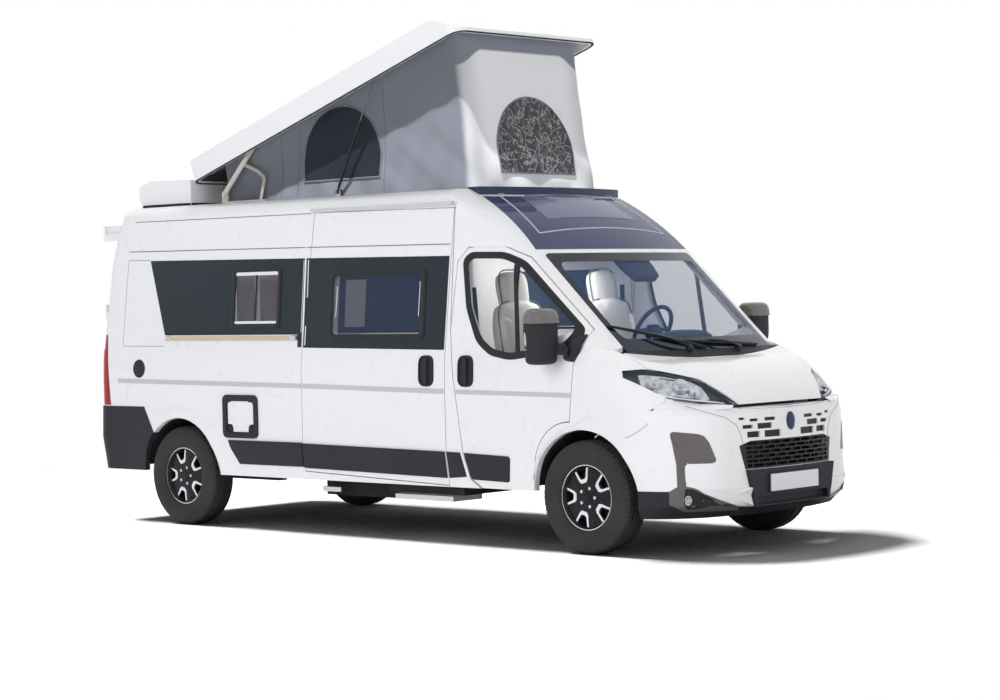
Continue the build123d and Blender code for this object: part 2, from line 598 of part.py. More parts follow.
with BuildPart() as rear_bumper:
    loft([plan_face(400.0, -1000.0, 300.0, 30.0, side_half(400.0) + 2, -HALF_LENGTH + 12, 150.0),
          plan_face(650.0, -1000.0, 300.0, 30.0, HALF_WIDTH + 4, -HALF_LENGTH, 150.0),
          plan_face(BUMPER_TOP - SEAT, -1000.0, 300.0, 30.0, HALF_WIDTH + 4, -HALF_LENGTH + 10, 150.0)], ruled=True)
    loft([plan_face(400.0, -1000.0, 250.0, 30.0, side_half(400.0) - 40, -HALF_LENGTH + 72, 110.0),
          plan_face(BUMPER_TOP - SEAT, -1000.0, 250.0, 30.0, HALF_WIDTH - 40, -HALF_LENGTH + 72, 110.0)],
         ruled=True, mode=Mode.SUBTRACT)
    with BuildPart(mode=Mode.PRIVATE) as bumper_zone:
        for side in (-1, 1):
            add(side_region(REAR_BUMPER_SIDE, side, start=0.0))
    add(bumper_zone.part, mode=Mode.INTERSECT)
    for side in (-1, 1):
        add(arch_cylinder(REAR_AXLE_X, side, ARCH_R), mode=Mode.SUBTRACT)
    add(box_region(-3100, -2700, -REAR_DOOR_GAP, REAR_DOOR_GAP, REAR_STEP_Z, 950), mode=Mode.SUBTRACT)
write(rear_bumper, "rear_bumper")

# ---------------------------------------------------------------- trims of the sides
MOULDINGS = [                                   # x-z outlines, right side
    [(-1406, 661), (-604, 661), (-604, 485), (-1299, 485), (-1380, 600)],
    [(-594, 656), (822, 638), (822, 457), (-594, 479)],
]
with BuildPart() as side_mouldings:
    for side in (-1, 1):
        for outline in MOULDINGS:
            with BuildPart(mode=Mode.PRIVATE) as moulding:
                add(trim_shell.part)
                add(side_region(outline, side), mode=Mode.INTERSECT)
            add(moulding.part)
    with BuildPart(mode=Mode.PRIVATE) as hatch_frame:
        add(trim_shell.part)
        add(side_window(HATCH_FRAME, -1, radius=45), mode=Mode.INTERSECT)
        add(side_window(HATCH, -1, grow=GAP, radius=30), mode=Mode.SUBTRACT)
    add(hatch_frame.part)
write(side_mouldings, "side_mouldings")

with BuildPart() as service_hatch:
    add(shell.part)
    add(side_window(HATCH, -1, radius=24), mode=Mode.INTERSECT)
    add(box_region(HATCH[0] - 50, HATCH[1] + 50, -HALF_WIDTH + 25, 0, 600, 1100), mode=Mode.SUBTRACT)
    add(box_region(HATCH[0] + 50, HATCH[1] - 50, -HALF_WIDTH - 8, -HALF_WIDTH + 10, HATCH[3] - 6, HATCH[3] + GAP - SEAT))
write(service_hatch, "service_hatch")

RAIL = (-2107.0, -653.0, 1403.0, 1432.0)
AWNING = (-546.0, 863.0, 2312.0, 2340.0)
with BuildPart() as outer_rails:
    add(box_region(RAIL[0], RAIL[1], -side_half(RAIL[2]) - 26, -side_half(RAIL[2]) + 12, RAIL[2], RAIL[3]))
    add(box_region(AWNING[0], AWNING[1], -side_half(AWNING[2]) - 22, -side_half(AWNING[2]) + 10, AWNING[2], AWNING[3]))
    add(outer, mode=Mode.SUBTRACT)
write(outer_rails, "outer_rails")

# ---------------------------------------------------------------- floor, liners and underbody
FLOOR_Z = (478.0, 530.0)
FLOOR_HALF = side_half(FLOOR_Z[0]) - WALL - 3
TOW_EYE = (-2860.0, -400.0, 365.0, 20.0, 22.0)  # centre x, face y and z of the eye, its thickness and bore radius
JACK_X = (1400.0, -1100.0)                     # jacking pads under the frame rails
JACK_Z = 388.0
with BuildPart() as floor:
    add(box_region(-2880, 1500, -FLOOR_HALF, FLOOR_HALF, *FLOOR_Z))
    add(box_region(1500, 2100, -540, 540, *FLOOR_Z))
    add(box_region(2070, 2100, -540, 540, FLOOR_Z[0], 860))
    add(box_region(2070, 2100, -900, 900, 860, 1225))
    for side in (-1, 1):
        y0, y1 = sorted((side * 900, side * (HALF_WIDTH - WALL - SEAT)))
        add(box_region(1900, 1955, y0, y1, 905, 1175))
        add(box_region(1900, 2100, *sorted((side * 870, side * 905)), 905, 1175))
    for side in (-1, 1):
        add(arch_cylinder(REAR_AXLE_X, side, ARCH_R + LINER - 3, inner_y=620), mode=Mode.SUBTRACT)
        y0, y1 = sorted((side * 330, side * 410))
        add(box_region(-2800, 2000, y0, y1, 400, FLOOR_Z[0]))
    add(inner, mode=Mode.INTERSECT)
    add(box_region(REAR_AXLE_X - 65, REAR_AXLE_X + 65, -700, 700, 390, 425), mode=Mode.SUBTRACT)
    for side in (-1, 1):
        for x in JACK_X:
            add(box_region(x - 40, x + 40, *sorted((side * 330, side * 410)), JACK_Z, 400))
        add(box_region(-2900, -2394, *sorted((side * 934, side * 1000)), 470, 540), mode=Mode.SUBTRACT)
    add(box_region(TOW_EYE[0] - 40, -2600, TOW_EYE[1], TOW_EYE[1] + TOW_EYE[3], TOW_EYE[2] - 40, FLOOR_Z[0]))
    with Locations(Location((TOW_EYE[0], TOW_EYE[1], TOW_EYE[2]), (90, 0, 0))):
        Cylinder(TOW_EYE[4], 4 * TOW_EYE[3], mode=Mode.SUBTRACT)
write(floor, "floor")

LINER_Y = (610.0, 960.0)
with BuildPart() as wheel_liners:
    for axle_x, low_z in ((FRONT_AXLE_X, 430.0), (REAR_AXLE_X, FLOOR_Z[1])):
        for side in (-1, 1):
            middle = side * sum(LINER_Y) / 2
            with BuildPart(mode=Mode.PRIVATE) as liner:
                with Locations(Location((axle_x, middle, TYRE_R), (90, 0, 0))):
                    Cylinder(ARCH_R + LINER, LINER_Y[1] - LINER_Y[0])
                with Locations(Location((axle_x, middle + side * LINER * (axle_x < 0), TYRE_R), (90, 0, 0))):
                    Cylinder(ARCH_R, LINER_Y[1] - LINER_Y[0], mode=Mode.SUBTRACT)
                add(box_region(axle_x - 600, axle_x + 600, -1100, 1100, -200, low_z), mode=Mode.SUBTRACT)
                add(inner, mode=Mode.INTERSECT)
            add(liner.part)
write(wheel_liners, "wheel_liners")

STEP_TOP = 330.0                               # underside of the entrance step's housing
with BuildPart() as underbody:
    add(box_region(-700, 120, -700, -420, 262, FLOOR_Z[0]))          # waste tank
    add(box_region(-900, -100, 420, 800, 250, FLOOR_Z[0]))           # fuel tank
    add(box_region(160, 880, -900, -420, STEP_TOP, FLOOR_Z[0]))           # step housing
write(underbody, "underbody")

STEP = (240.0, 800.0, -930.0, -640.0, 286.0, 322.0)
with BuildPart() as entrance_step:
    add(box_region(*STEP))
    add(box_region(STEP[0] + 30, STEP[1] - 30, STEP[2] + 40, STEP[2] + 120, STEP[4], STEP[5]), mode=Mode.SUBTRACT)
    for x in (STEP[0] + 20, STEP[1] - 45):
        add(box_region(x, x + 25, STEP[2] + 100, STEP[3], STEP[5], STEP_TOP - SEAT))
write(entrance_step, "entrance_step")

ENGINE_Z = 420.0
with BuildPart() as engine:
    add(box_region(2140, 2760, -330, 330, ENGINE_Z, 980))
write(engine, "engine")

# ---------------------------------------------------------------- cab interior and furniture
with BuildPart() as dashboard:
    with BuildSketch(Plane.XZ.offset(-860)):
        with BuildLine():
            Polyline((1640, 820), (1680, 1120), (1760, 1232), (2070 - SEAT, 1226), (2070 - SEAT, 900), (1900, 820),
                     (1640, 820))
        make_face()
    extrude(amount=1720)
    with Locations(Location((1640, 400, 1150), (0, -62, 0))):
        Torus(185, 15)
        Cylinder(45, 30)
        Box(340, 26, 16)
    with Locations(Location((1700, 400, 1118), (0, -62, 0))):
        Cylinder(28, 150)
write(dashboard, "dashboard")

SEAT_X = 1080.0
with BuildPart() as cab_seats:
    for side in (-1, 1):
        y = side * 480
        with BuildPart(mode=Mode.PRIVATE) as cab_seat:
            add(box_region(SEAT_X, SEAT_X + 480, y - 220, y + 220, FLOOR_Z[1] + SEAT, 820))
            with BuildSketch(Plane.XZ.offset(-y - 255)):
                with BuildLine():
                    Polyline((SEAT_X - 20, 800), (SEAT_X + 500, 830), (SEAT_X + 520, 930), (SEAT_X + 110, 930),
                             (SEAT_X, 1480), (SEAT_X - 40, 1720), (SEAT_X - 150, 1720), (SEAT_X - 120, 1480),
                             (SEAT_X - 20, 800))
                make_face()
            extrude(amount=510)
            for edge_side in (-1, 1):
                y0, y1 = sorted((y + edge_side * 140, y + edge_side * 300))
                add(box_region(SEAT_X - 300, SEAT_X + 100, y0, y1, 1480, 1800), mode=Mode.SUBTRACT)
        add(cab_seat.part)
write(cab_seats, "cab_seats")

with BuildPart() as furniture:
    add(box_region(-2780, -1450, -600, 600, FLOOR_Z[1] + SEAT, 1300))       # bed base over the rear
    add(box_region(-1350, -700, 300, 880, FLOOR_Z[1] + SEAT, 2200))         # tall cupboard and washroom
    add(box_region(-1350, -900, -880, -420, FLOOR_Z[1] + SEAT, 1380))       # kitchen block
write(furniture, "furniture")

# ---------------------------------------------------------------- running gear
HUB_R = 32.0                                   # spigot that carries a wheel
HUB_CLEAR = 0.3
WHEELS = [                                     # columns: name, axle x, track
    ("front_right", FRONT_AXLE_X, -FRONT_TRACK / 2), ("front_left", FRONT_AXLE_X, FRONT_TRACK / 2),
    ("rear_right", REAR_AXLE_X, -REAR_TRACK / 2), ("rear_left", REAR_AXLE_X, REAR_TRACK / 2),
]
RIM_WIDTH = 178.0
BOLT_CIRCLE = 130.0 / 2
SPOKES = 5
for name, axle_x, wheel_y in WHEELS:
    side = -1 if wheel_y < 0 else 1
    wheel_plane = Plane((axle_x, wheel_y, TYRE_R), x_dir=(1, 0, 0), z_dir=(0, side, 0))
    with BuildPart() as rim:
        with BuildSketch(wheel_plane * Plane.XZ):
            with BuildLine():
                Polyline((192, -RIM_WIDTH / 2), (RIM_R, -RIM_WIDTH / 2), (RIM_R, -RIM_WIDTH / 2 + 12), (200, -60),
                         (186, -30), (186, 40), (200, 65), (RIM_R, RIM_WIDTH / 2 - 12), (RIM_R, RIM_WIDTH / 2),
                         (202, RIM_WIDTH / 2), (190, 62), (178, 40), (178, -30), (192, -62), (192, -RIM_WIDTH / 2))
            make_face()
        revolve(axis=Axis(wheel_plane.origin, wheel_plane.z_dir))
        with BuildSketch(wheel_plane.offset(30)):
            Circle(182)
            with PolarLocations(118, SPOKES, start_angle=18):
                SlotOverall(92, 58)
        extrude(amount=32)
        with BuildSketch(wheel_plane.offset(10)):
            Circle(78)
            Circle(HUB_R + HUB_CLEAR, mode=Mode.SUBTRACT)
        extrude(amount=50)
        with BuildSketch(wheel_plane.offset(10)):
            Circle(HUB_R + HUB_CLEAR)
        extrude(amount=52, mode=Mode.SUBTRACT)
    write(rim, f"rim_{name}")
    with BuildPart() as tyre:
        with BuildSketch(wheel_plane * Plane.XZ):
            with BuildLine():
                Polyline((RIM_R + SEAT, -RIM_WIDTH / 2 + 2), (RIM_R + 30, -RIM_WIDTH / 2 - 14))
                ThreePointArc((RIM_R + 30, -RIM_WIDTH / 2 - 14), (295, -TYRE_WIDTH / 2), (346, -96))
                ThreePointArc((346, -96), (362, -86), (TYRE_R - 4, -62))
                ThreePointArc((TYRE_R - 4, -62), (TYRE_R, 0), (TYRE_R - 4, 62))
                ThreePointArc((TYRE_R - 4, 62), (362, 86), (346, 96))
                ThreePointArc((346, 96), (295, TYRE_WIDTH / 2), (RIM_R + 30, RIM_WIDTH / 2 + 14))
                Polyline((RIM_R + 30, RIM_WIDTH / 2 + 14), (RIM_R + SEAT, RIM_WIDTH / 2 - 2))
                Line((RIM_R + SEAT, RIM_WIDTH / 2 - 2), (RIM_R + SEAT, -RIM_WIDTH / 2 + 2))
            make_face()
        revolve(axis=Axis(wheel_plane.origin, wheel_plane.z_dir))
    write(tyre, f"tyre_{name}")

# Front knuckles turn on a kingpin held by the fork of the front axle beam.
PIN_R = 14.0
FORK_Z = (300.0, 444.0)
with BuildPart() as front_axle:
    add(box_region(FRONT_AXLE_X - 60, FRONT_AXLE_X + 60, -640, 640, 300, 380))
    for side in (-1, 1):
        for low, high in ((FORK_Z[0] - 34, FORK_Z[0]), (FORK_Z[1], FORK_Z[1] + 30)):
            y0, y1 = sorted((side * 600, side * KINGPIN_Y))
            add(box_region(FRONT_AXLE_X - 28, FRONT_AXLE_X + 28, y0, y1, low, high))
            with Locations((FRONT_AXLE_X, side * KINGPIN_Y, (low + high) / 2)):
                Cylinder(28, high - low)
        y0, y1 = sorted((side * 600, side * 640))
        add(box_region(FRONT_AXLE_X - 34, FRONT_AXLE_X + 34, y0, y1, FORK_Z[0] - 34, FORK_Z[1] + 30))
        with Locations((FRONT_AXLE_X, side * KINGPIN_Y, (FORK_Z[0] + FORK_Z[1]) / 2)):
            Cylinder(PIN_R, FORK_Z[1] - FORK_Z[0])
        y0, y1 = sorted((side * 300, side * 420))
        add(box_region(FRONT_AXLE_X - 200, FRONT_AXLE_X + 200, y0, y1, 300, 400 - SEAT))
        y0, y1 = sorted((side * 290, side * 330))
        add(box_region(FRONT_AXLE_X + 110, FRONT_AXLE_X + 190, y0, y1, 380, ENGINE_Z - SEAT))
write(front_axle, "front_axle")
for side, tag in ((-1, "right"), (1, "left")):
    with BuildPart() as knuckle:
        with Locations((FRONT_AXLE_X, side * KINGPIN_Y, (FORK_Z[0] + FORK_Z[1]) / 2)):
            Cylinder(PIN_R + 18, FORK_Z[1] - FORK_Z[0] - 2 * SEAT)
            Cylinder(PIN_R + HUB_CLEAR, FORK_Z[1] - FORK_Z[0], mode=Mode.SUBTRACT)
        with BuildSketch(Plane((FRONT_AXLE_X, side * (KINGPIN_Y + 26), TYRE_R), x_dir=(1, 0, 0), z_dir=(0, side, 0))):
            Circle(HUB_R)
        extrude(amount=FRONT_TRACK / 2 + 62 - KINGPIN_Y - 26)
        with BuildSketch(Plane((FRONT_AXLE_X, side * (KINGPIN_Y + 34), TYRE_R), x_dir=(1, 0, 0), z_dir=(0, side, 0))):
            Circle(140)
            Circle(HUB_R, mode=Mode.SUBTRACT)
        extrude(amount=16)
    write(knuckle, f"knuckle_{tag}")

with BuildPart() as rear_axle:
    with Locations(Location((REAR_AXLE_X, 0, TYRE_R), (90, 0, 0))):
        Cylinder(45, REAR_TRACK - 60)
        Cylinder(HUB_R, REAR_TRACK + 124)
    for side in (-1, 1):
        with Locations(Location((REAR_AXLE_X, side * (REAR_TRACK / 2 - 40), TYRE_R), (90, 0, 0))):
            Cylinder(140, 40)
        y0, y1 = sorted((side * 520, side * 590))
        add(box_region(REAR_AXLE_X - 650, REAR_AXLE_X + 650, y0, y1, 330, 345))
        add(box_region(REAR_AXLE_X - 40, REAR_AXLE_X + 40, y0, y1, 325, 420))
        for x in (REAR_AXLE_X - 650, REAR_AXLE_X + 620):
            add(box_region(x, x + 30, y0, y1, 330, FLOOR_Z[0] - SEAT))
write(rear_axle, "rear_axle")

# ---------------------------------------------------------------- pop-up roof
TILT = 17.93                                   # opening angle of the roof, in degrees
RIM_CORNER = (-2101.0, 2598.0)                 # lower rear corner of the open roof shell, x and z
ROOF_LENGTH = 3017.0
ROOF_HALF = 760.0
ROOF_DEPTH = 165.0                             # height of the shell's edge
ROOF_CROWN = 45.0
SHELL_WALL = 40.0
ARM_FOOT = (-1800.0, 2500.0)                   # arm pin on the base bracket
ARM_ALONG = 679.0                              # arm pin on the shell: along its rim and above it
PIN_ABOVE = 30.0
ARM_Y = (668.0, 680.0)
STRUT_FOOT = (-534.0, 2466.0)
STRUT_ALONG = 2089.0
STRUT_Y = 688.0
BARREL_LENGTH = 560.0
ROD_INSIDE = 195.0                             # length of rod inside its barrel when the roof is up
rim_dir = (math.cos(math.radians(TILT)), math.sin(math.radians(TILT)))
rim_up = (-rim_dir[1], rim_dir[0])


def on_shell(along, above):
    """Point of the open roof shell in x and z: along its rim from the rear corner, and above the rim."""
    return (RIM_CORNER[0] + along * rim_dir[0] + above * rim_up[0],
            RIM_CORNER[1] + along * rim_dir[1] + above * rim_up[1])


tilt_plane = Plane((RIM_CORNER[0], 0, RIM_CORNER[1]), x_dir=(rim_dir[0], 0, rim_dir[1]),
                   z_dir=(rim_up[0], 0, rim_up[1]))
side_plane = Plane((RIM_CORNER[0], 0, RIM_CORNER[1]), x_dir=(rim_dir[0], 0, rim_dir[1]), z_dir=(0, -1, 0))
LIP_RUN = 250.0                                # the top slopes down to the front lip over this length
LIP_DEPTH = 24.0


def shell_form(inset, lift):
    """Closed form of the roof shell, drawn in by the inset; the lift raises its underside."""
    with BuildPart() as form:
        with BuildSketch(tilt_plane.offset(lift)):
            with Locations((ROOF_LENGTH / 2, 0)):
                RectangleRounded(ROOF_LENGTH - 2 * inset, 2 * (ROOF_HALF - inset), 110 - inset)
        extrude(amount=ROOF_DEPTH + ROOF_CROWN + 50)
        with BuildSketch(side_plane.offset(-ROOF_HALF - 50)):
            with BuildLine():
                top = ROOF_DEPTH + ROOF_CROWN - inset
                Polyline((-50, -10), (ROOF_LENGTH + 50, -10), (ROOF_LENGTH + 50, LIP_DEPTH), (ROOF_LENGTH, LIP_DEPTH - inset * 0.3),
                         (ROOF_LENGTH - LIP_RUN - inset * 0.4, top - 30), (ROOF_LENGTH - LIP_RUN - 260, top))
                Line((ROOF_LENGTH - LIP_RUN - 260, top), (90, top))
                ThreePointArc((90, top), (22 + inset * 0.4, top - 28), (inset - 6, top - 100))
                Polyline((inset - 6, top - 100), (-50, top - 100), (-50, -10))
            make_face()
        extrude(amount=2 * ROOF_HALF + 100, mode=Mode.INTERSECT)
        with BuildSketch(Plane(tilt_plane.origin, x_dir=(0, 1, 0), z_dir=tilt_plane.x_dir).offset(-100)):
            with BuildLine():
                half = ROOF_HALF + 60
                edge = ROOF_DEPTH - inset - 8
                Polyline((-half, edge), (-half, -20), (half, -20), (half, edge))
                ThreePointArc((half, edge), (0, ROOF_DEPTH + ROOF_CROWN - inset), (-half, edge))
            make_face()
        extrude(amount=ROOF_LENGTH + 200, mode=Mode.INTERSECT)
    return form.part


BOSS_R = 14.0
with BuildPart() as roof_shell:
    add(shell_form(0.0, 0.0))
    add(shell_form(SHELL_WALL, -20.0), mode=Mode.SUBTRACT)
    for along, face_y in ((ARM_ALONG, ARM_Y[1]), (STRUT_ALONG, STRUT_Y + 7)):
        head = on_shell(along, PIN_ABOVE)
        for side in (-1, 1):
            y0, y1 = sorted((side * (face_y + SEAT), side * (ROOF_HALF - SHELL_WALL + 5)))
            with Locations(Location((head[0], (y0 + y1) / 2, head[1]), (90, 0, 0))):
                Cylinder(BOSS_R, y1 - y0)
write(roof_shell, "roof_shell")

# Tent: fabric walls as one closed solid between the roof opening's rim and the shell.
TENT_BASE = (-1862.0, 812.0, 2440.0)           # rear x, front x, z
TENT_HALF = 640.0
TENT_FRONT_TOP_X = 655.0
with BuildPart() as tent:
    with BuildSketch(Plane.XZ.offset(-TENT_HALF)):
        with BuildLine():
            rear_top = RIM_CORNER[1] + (TENT_BASE[0] - RIM_CORNER[0]) * math.tan(math.radians(TILT)) + 40
            front_top = RIM_CORNER[1] + (TENT_FRONT_TOP_X - RIM_CORNER[0]) * math.tan(math.radians(TILT)) + 40
            Polyline((TENT_BASE[0], TENT_BASE[2]), (TENT_BASE[1], TENT_BASE[2]), (TENT_FRONT_TOP_X, front_top),
                     (TENT_BASE[0], rear_top), close=True)
        make_face()
    extrude(amount=2 * TENT_HALF)
write(tent, "tent")

# Lift arms: a pair of flat links between base brackets on the roof and the shell's side rails.
arm_head = on_shell(ARM_ALONG, PIN_ABOVE)
arm_length = math.dist(ARM_FOOT, arm_head)
arm_angle = math.degrees(math.atan2(arm_head[1] - ARM_FOOT[1], arm_head[0] - ARM_FOOT[0]))
strut_head = on_shell(STRUT_ALONG, PIN_ABOVE)
strut_angle = math.degrees(math.atan2(strut_head[1] - STRUT_FOOT[1], strut_head[0] - STRUT_FOOT[0]))
strut_length = math.dist(STRUT_FOOT, strut_head)


def link_plane(foot, angle, y):
    """Plane along a link in the side view: x along the link, z towards -Y."""
    turn = math.radians(angle)
    return Plane((foot[0], y, foot[1]), x_dir=(math.cos(turn), 0, math.sin(turn)), z_dir=(0, -1, 0))


with BuildPart() as lift_arms:
    for side in (-1, 1):
        y_outer = max(side * ARM_Y[0], side * ARM_Y[1])
        with BuildSketch(link_plane(ARM_FOOT, arm_angle, y_outer)):
            with Locations((arm_length / 2, 0)):
                SlotCenterToCenter(arm_length, 40)
            with Locations((0, 0), (arm_length, 0)):
                Circle(8 + HUB_CLEAR, mode=Mode.SUBTRACT)
        extrude(amount=ARM_Y[1] - ARM_Y[0])
write(lift_arms, "lift_arms")

with BuildPart() as lift_bases:
    for side in (-1, 1):
        y0, y1 = sorted((side * 650, side * (ARM_Y[0] - SEAT)))
        add(box_region(-1830, -1340, y0, y1, 2420, 2450))
        add(box_region(-1830, -1770, y0, y1, 2450, 2522))
        foot_y0, foot_y1 = sorted((side * (STRUT_Y - 24), side * (STRUT_Y - 7 - SEAT)))
        add(box_region(STRUT_FOOT[0] - 26, STRUT_FOOT[0] + 22, foot_y0, foot_y1, 2420, STRUT_FOOT[1] + 12))
        with Locations(Location((STRUT_FOOT[0], side * (STRUT_Y - 10), STRUT_FOOT[1]), (90, 0, 0))):
            Cylinder(5, 28)
    add(outer, mode=Mode.SUBTRACT)
    for side in (-1, 1):
        pin_y0, pin_y1 = sorted((side * (ARM_Y[0] - 2), side * (ARM_Y[1] + 4)))
        with Locations(Location((ARM_FOOT[0], (pin_y0 + pin_y1) / 2, ARM_FOOT[1]), (90, 0, 0))):
            Cylinder(8, pin_y1 - pin_y0)
write(lift_bases, "lift_bases")

with BuildPart() as strut_barrels:
    for side in (-1, 1):
        foot_plane = link_plane(STRUT_FOOT, strut_angle, side * STRUT_Y)
        barrel_plane = Plane((STRUT_FOOT[0], side * STRUT_Y, STRUT_FOOT[1]), x_dir=(0, 1, 0), z_dir=foot_plane.x_dir)
        with BuildSketch(barrel_plane.offset(8)):
            Circle(6.5)
        extrude(amount=32)
        with BuildSketch(barrel_plane.offset(38)):
            Circle(10)
        extrude(amount=BARREL_LENGTH - 38)
        with BuildSketch(barrel_plane.offset(60)):
            Circle(6)
        extrude(amount=BARREL_LENGTH, mode=Mode.SUBTRACT)
        with BuildSketch(foot_plane.offset(-7)):
            Circle(12)
        extrude(amount=14)
        with BuildSketch(foot_plane.offset(-20)):
            Circle(5 + HUB_CLEAR)
        extrude(amount=40, mode=Mode.SUBTRACT)
write(strut_barrels, "strut_barrels")

with BuildPart() as strut_rods:
    for side in (-1, 1):
        foot_plane = link_plane(STRUT_FOOT, strut_angle, side * STRUT_Y)
        rod_plane = Plane((STRUT_FOOT[0], side * STRUT_Y, STRUT_FOOT[1]), x_dir=(0, 1, 0), z_dir=foot_plane.x_dir)
        with BuildSketch(rod_plane.offset(BARREL_LENGTH - ROD_INSIDE)):
            Circle(5)
        extrude(amount=strut_length - BARREL_LENGTH + ROD_INSIDE - 6)
        with BuildSketch(link_plane(strut_head, strut_angle, side * STRUT_Y).offset(-7)):
            Circle(11)
        extrude(amount=14)
write(strut_rods, "strut_rods")

with BuildPart() as roof_unit:
    with BuildSketch(Plane.XZ.offset(-735)):
        with BuildLine():
            Polyline((-2690, 2410), (-2118, 2410), (-2118, 2630), (-2600, 2640), (-2735, 2600), (-2745, 2520),
                     (-2690, 2410))
        make_face()
    extrude(amount=1470)
    add(outer, mode=Mode.SUBTRACT)
write(roof_unit, "roof_unit")

# Pole of the roof's motion: the point about which the four-bar linkage turns the shell overall.
closed_head = (ARM_FOOT[0] + math.sqrt(arm_length ** 2 - (2450 + PIN_ABOVE - ARM_FOOT[1]) ** 2), 2450 + PIN_ABOVE)
step_x, step_z = closed_head[0] - arm_head[0], closed_head[1] - arm_head[1]
half_step = math.hypot(step_x, step_z) / 2
reach = half_step / math.tan(math.radians(TILT) / 2)
pole = ((closed_head[0] + arm_head[0]) / 2 + reach * step_z / (2 * half_step),
        (closed_head[1] + arm_head[1]) / 2 - reach * step_x / (2 * half_step))
print("pole", pole, "arm angle", arm_angle, "length", arm_length, "closed head", closed_head)
print("strut angle", strut_angle, "length", strut_length, "head", strut_head)
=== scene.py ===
# %% [markdown]
# # A camper van with a pop-up roof, dressed for the camera
#
# The van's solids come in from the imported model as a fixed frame, in metres, with X forward, Y to the left
# and Z up. This notebook gives each of them a finish, and adds what a solid model leaves out: the fabric
# tent, tread and spokes, lamp bowls, handles, blinds, wipers and seals. Almost every new piece is one of four
# kinds of surface, worked out as whole numpy arrays: a plate, a ring, a tube or a turned profile.

# %% Frame
import json
import math

import bmesh
import bpy
import numpy as np
from mathutils import Matrix, Vector

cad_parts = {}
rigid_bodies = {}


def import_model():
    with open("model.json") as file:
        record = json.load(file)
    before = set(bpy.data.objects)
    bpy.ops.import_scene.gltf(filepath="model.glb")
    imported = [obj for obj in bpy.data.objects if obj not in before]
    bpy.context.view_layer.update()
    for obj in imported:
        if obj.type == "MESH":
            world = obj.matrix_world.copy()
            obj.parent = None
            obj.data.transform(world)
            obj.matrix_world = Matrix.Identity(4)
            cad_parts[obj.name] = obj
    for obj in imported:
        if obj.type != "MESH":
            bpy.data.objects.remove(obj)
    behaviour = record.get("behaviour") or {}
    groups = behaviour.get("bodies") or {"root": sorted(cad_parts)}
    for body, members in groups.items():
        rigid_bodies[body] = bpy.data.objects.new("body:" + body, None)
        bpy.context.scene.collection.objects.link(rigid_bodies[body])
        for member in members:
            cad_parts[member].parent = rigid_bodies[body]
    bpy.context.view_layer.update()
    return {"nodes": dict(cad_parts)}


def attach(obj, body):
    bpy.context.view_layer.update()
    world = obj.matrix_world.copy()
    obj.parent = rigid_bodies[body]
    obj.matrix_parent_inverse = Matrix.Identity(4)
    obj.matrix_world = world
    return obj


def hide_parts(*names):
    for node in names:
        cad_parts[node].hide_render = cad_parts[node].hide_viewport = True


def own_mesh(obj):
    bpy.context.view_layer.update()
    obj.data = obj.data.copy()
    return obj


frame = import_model()
MM = 0.001
RIGHT, LEFT = -1, 1
SIDES = ((RIGHT, "right"), (LEFT, "left"))

# %% [markdown]
# ## Camera
#
# A camera is a point, three directions and a focal length. The long lens, 87 mm on a 36 mm sensor, stands
# 15 m off the front corner, so the van's far side is hardly smaller than its near one. The three directions
# are written as columns of a matrix, because Blender's camera looks along its own minus Z.

# %% Camera
eye = np.array([12.220, -12.806, 1.710])
yaw, pitch, roll = np.radians([42.692, 1.362, -1.256])
ahead = np.array([-math.sin(yaw) * math.cos(pitch), math.cos(yaw) * math.cos(pitch), -math.sin(pitch)])
level = np.array([math.cos(yaw), math.sin(yaw), 0.0])
plumb = np.cross(level, ahead)
across = math.cos(roll) * level + math.sin(roll) * plumb
upward = -math.sin(roll) * level + math.cos(roll) * plumb
camera_data = bpy.data.cameras.new("camera")
camera_data.lens = 86.84
camera_data.sensor_width = 36.0
camera_data.clip_end = 300.0
camera = bpy.data.objects.new("camera", camera_data)
bpy.context.scene.collection.objects.link(camera)
pose = np.eye(4)
pose[:3, 0], pose[:3, 1], pose[:3, 2], pose[:3, 3] = across, upward, -ahead, eye
camera.matrix_world = Matrix(pose.tolist())
bpy.context.scene.camera = camera

# %% [markdown]
# ## Floor and light
#
# The van stands in a bright studio. Four wide lamps light the van alone, and a low soft sun from behind
# lights the floor alone, while two small ones light the inside. So the shadow runs forward and stays dark
# without dulling the paint. The floor is plain white, and rays that leave the scene meet a white world, so
# both run into each other with no horizon.

# %% Floor, world and lamps
scene = bpy.context.scene
scene.view_settings.view_transform = "Standard"


def add_node(tree, kind, values=None, **settings):
    """New shader node of a kind, with its settings, then the values of its input sockets."""
    node = tree.nodes.new("ShaderNode" + kind)
    for name, value in settings.items():
        setattr(node, name, value)
    for socket, value in (values or {}).items():
        node.inputs[socket].default_value = value
    return node


def link_nodes(tree, *pairs):
    """Join each (output socket, input socket) pair of a node tree."""
    for source, target in pairs:
        tree.links.new(source, target)


world = bpy.data.worlds.new("studio")
world.use_nodes = True
scene.world = world
tree = world.node_tree
tree.nodes.clear()
path, mix, output = [add_node(tree, kind) for kind in ("LightPath", "MixShader", "OutputWorld")]
seen, mirrored = [add_node(tree, "Math", operation="MAXIMUM") for _ in range(2)]
soft = add_node(tree, "Background", {"Color": (0.94, 0.97, 1.0, 1), "Strength": 0.12})
white = add_node(tree, "Background", {"Color": (1, 1, 1, 1), "Strength": 1.0})
link_nodes(tree, (path.outputs["Is Camera Ray"], seen.inputs[0]),
           (path.outputs["Is Transmission Ray"], seen.inputs[1]), (seen.outputs[0], mirrored.inputs[0]),
           (path.outputs["Is Glossy Ray"], mirrored.inputs[1]), (mirrored.outputs[0], mix.inputs["Fac"]),
           (soft.outputs[0], mix.inputs[1]), (white.outputs[0], mix.inputs[2]),
           (mix.outputs[0], output.inputs["Surface"]))


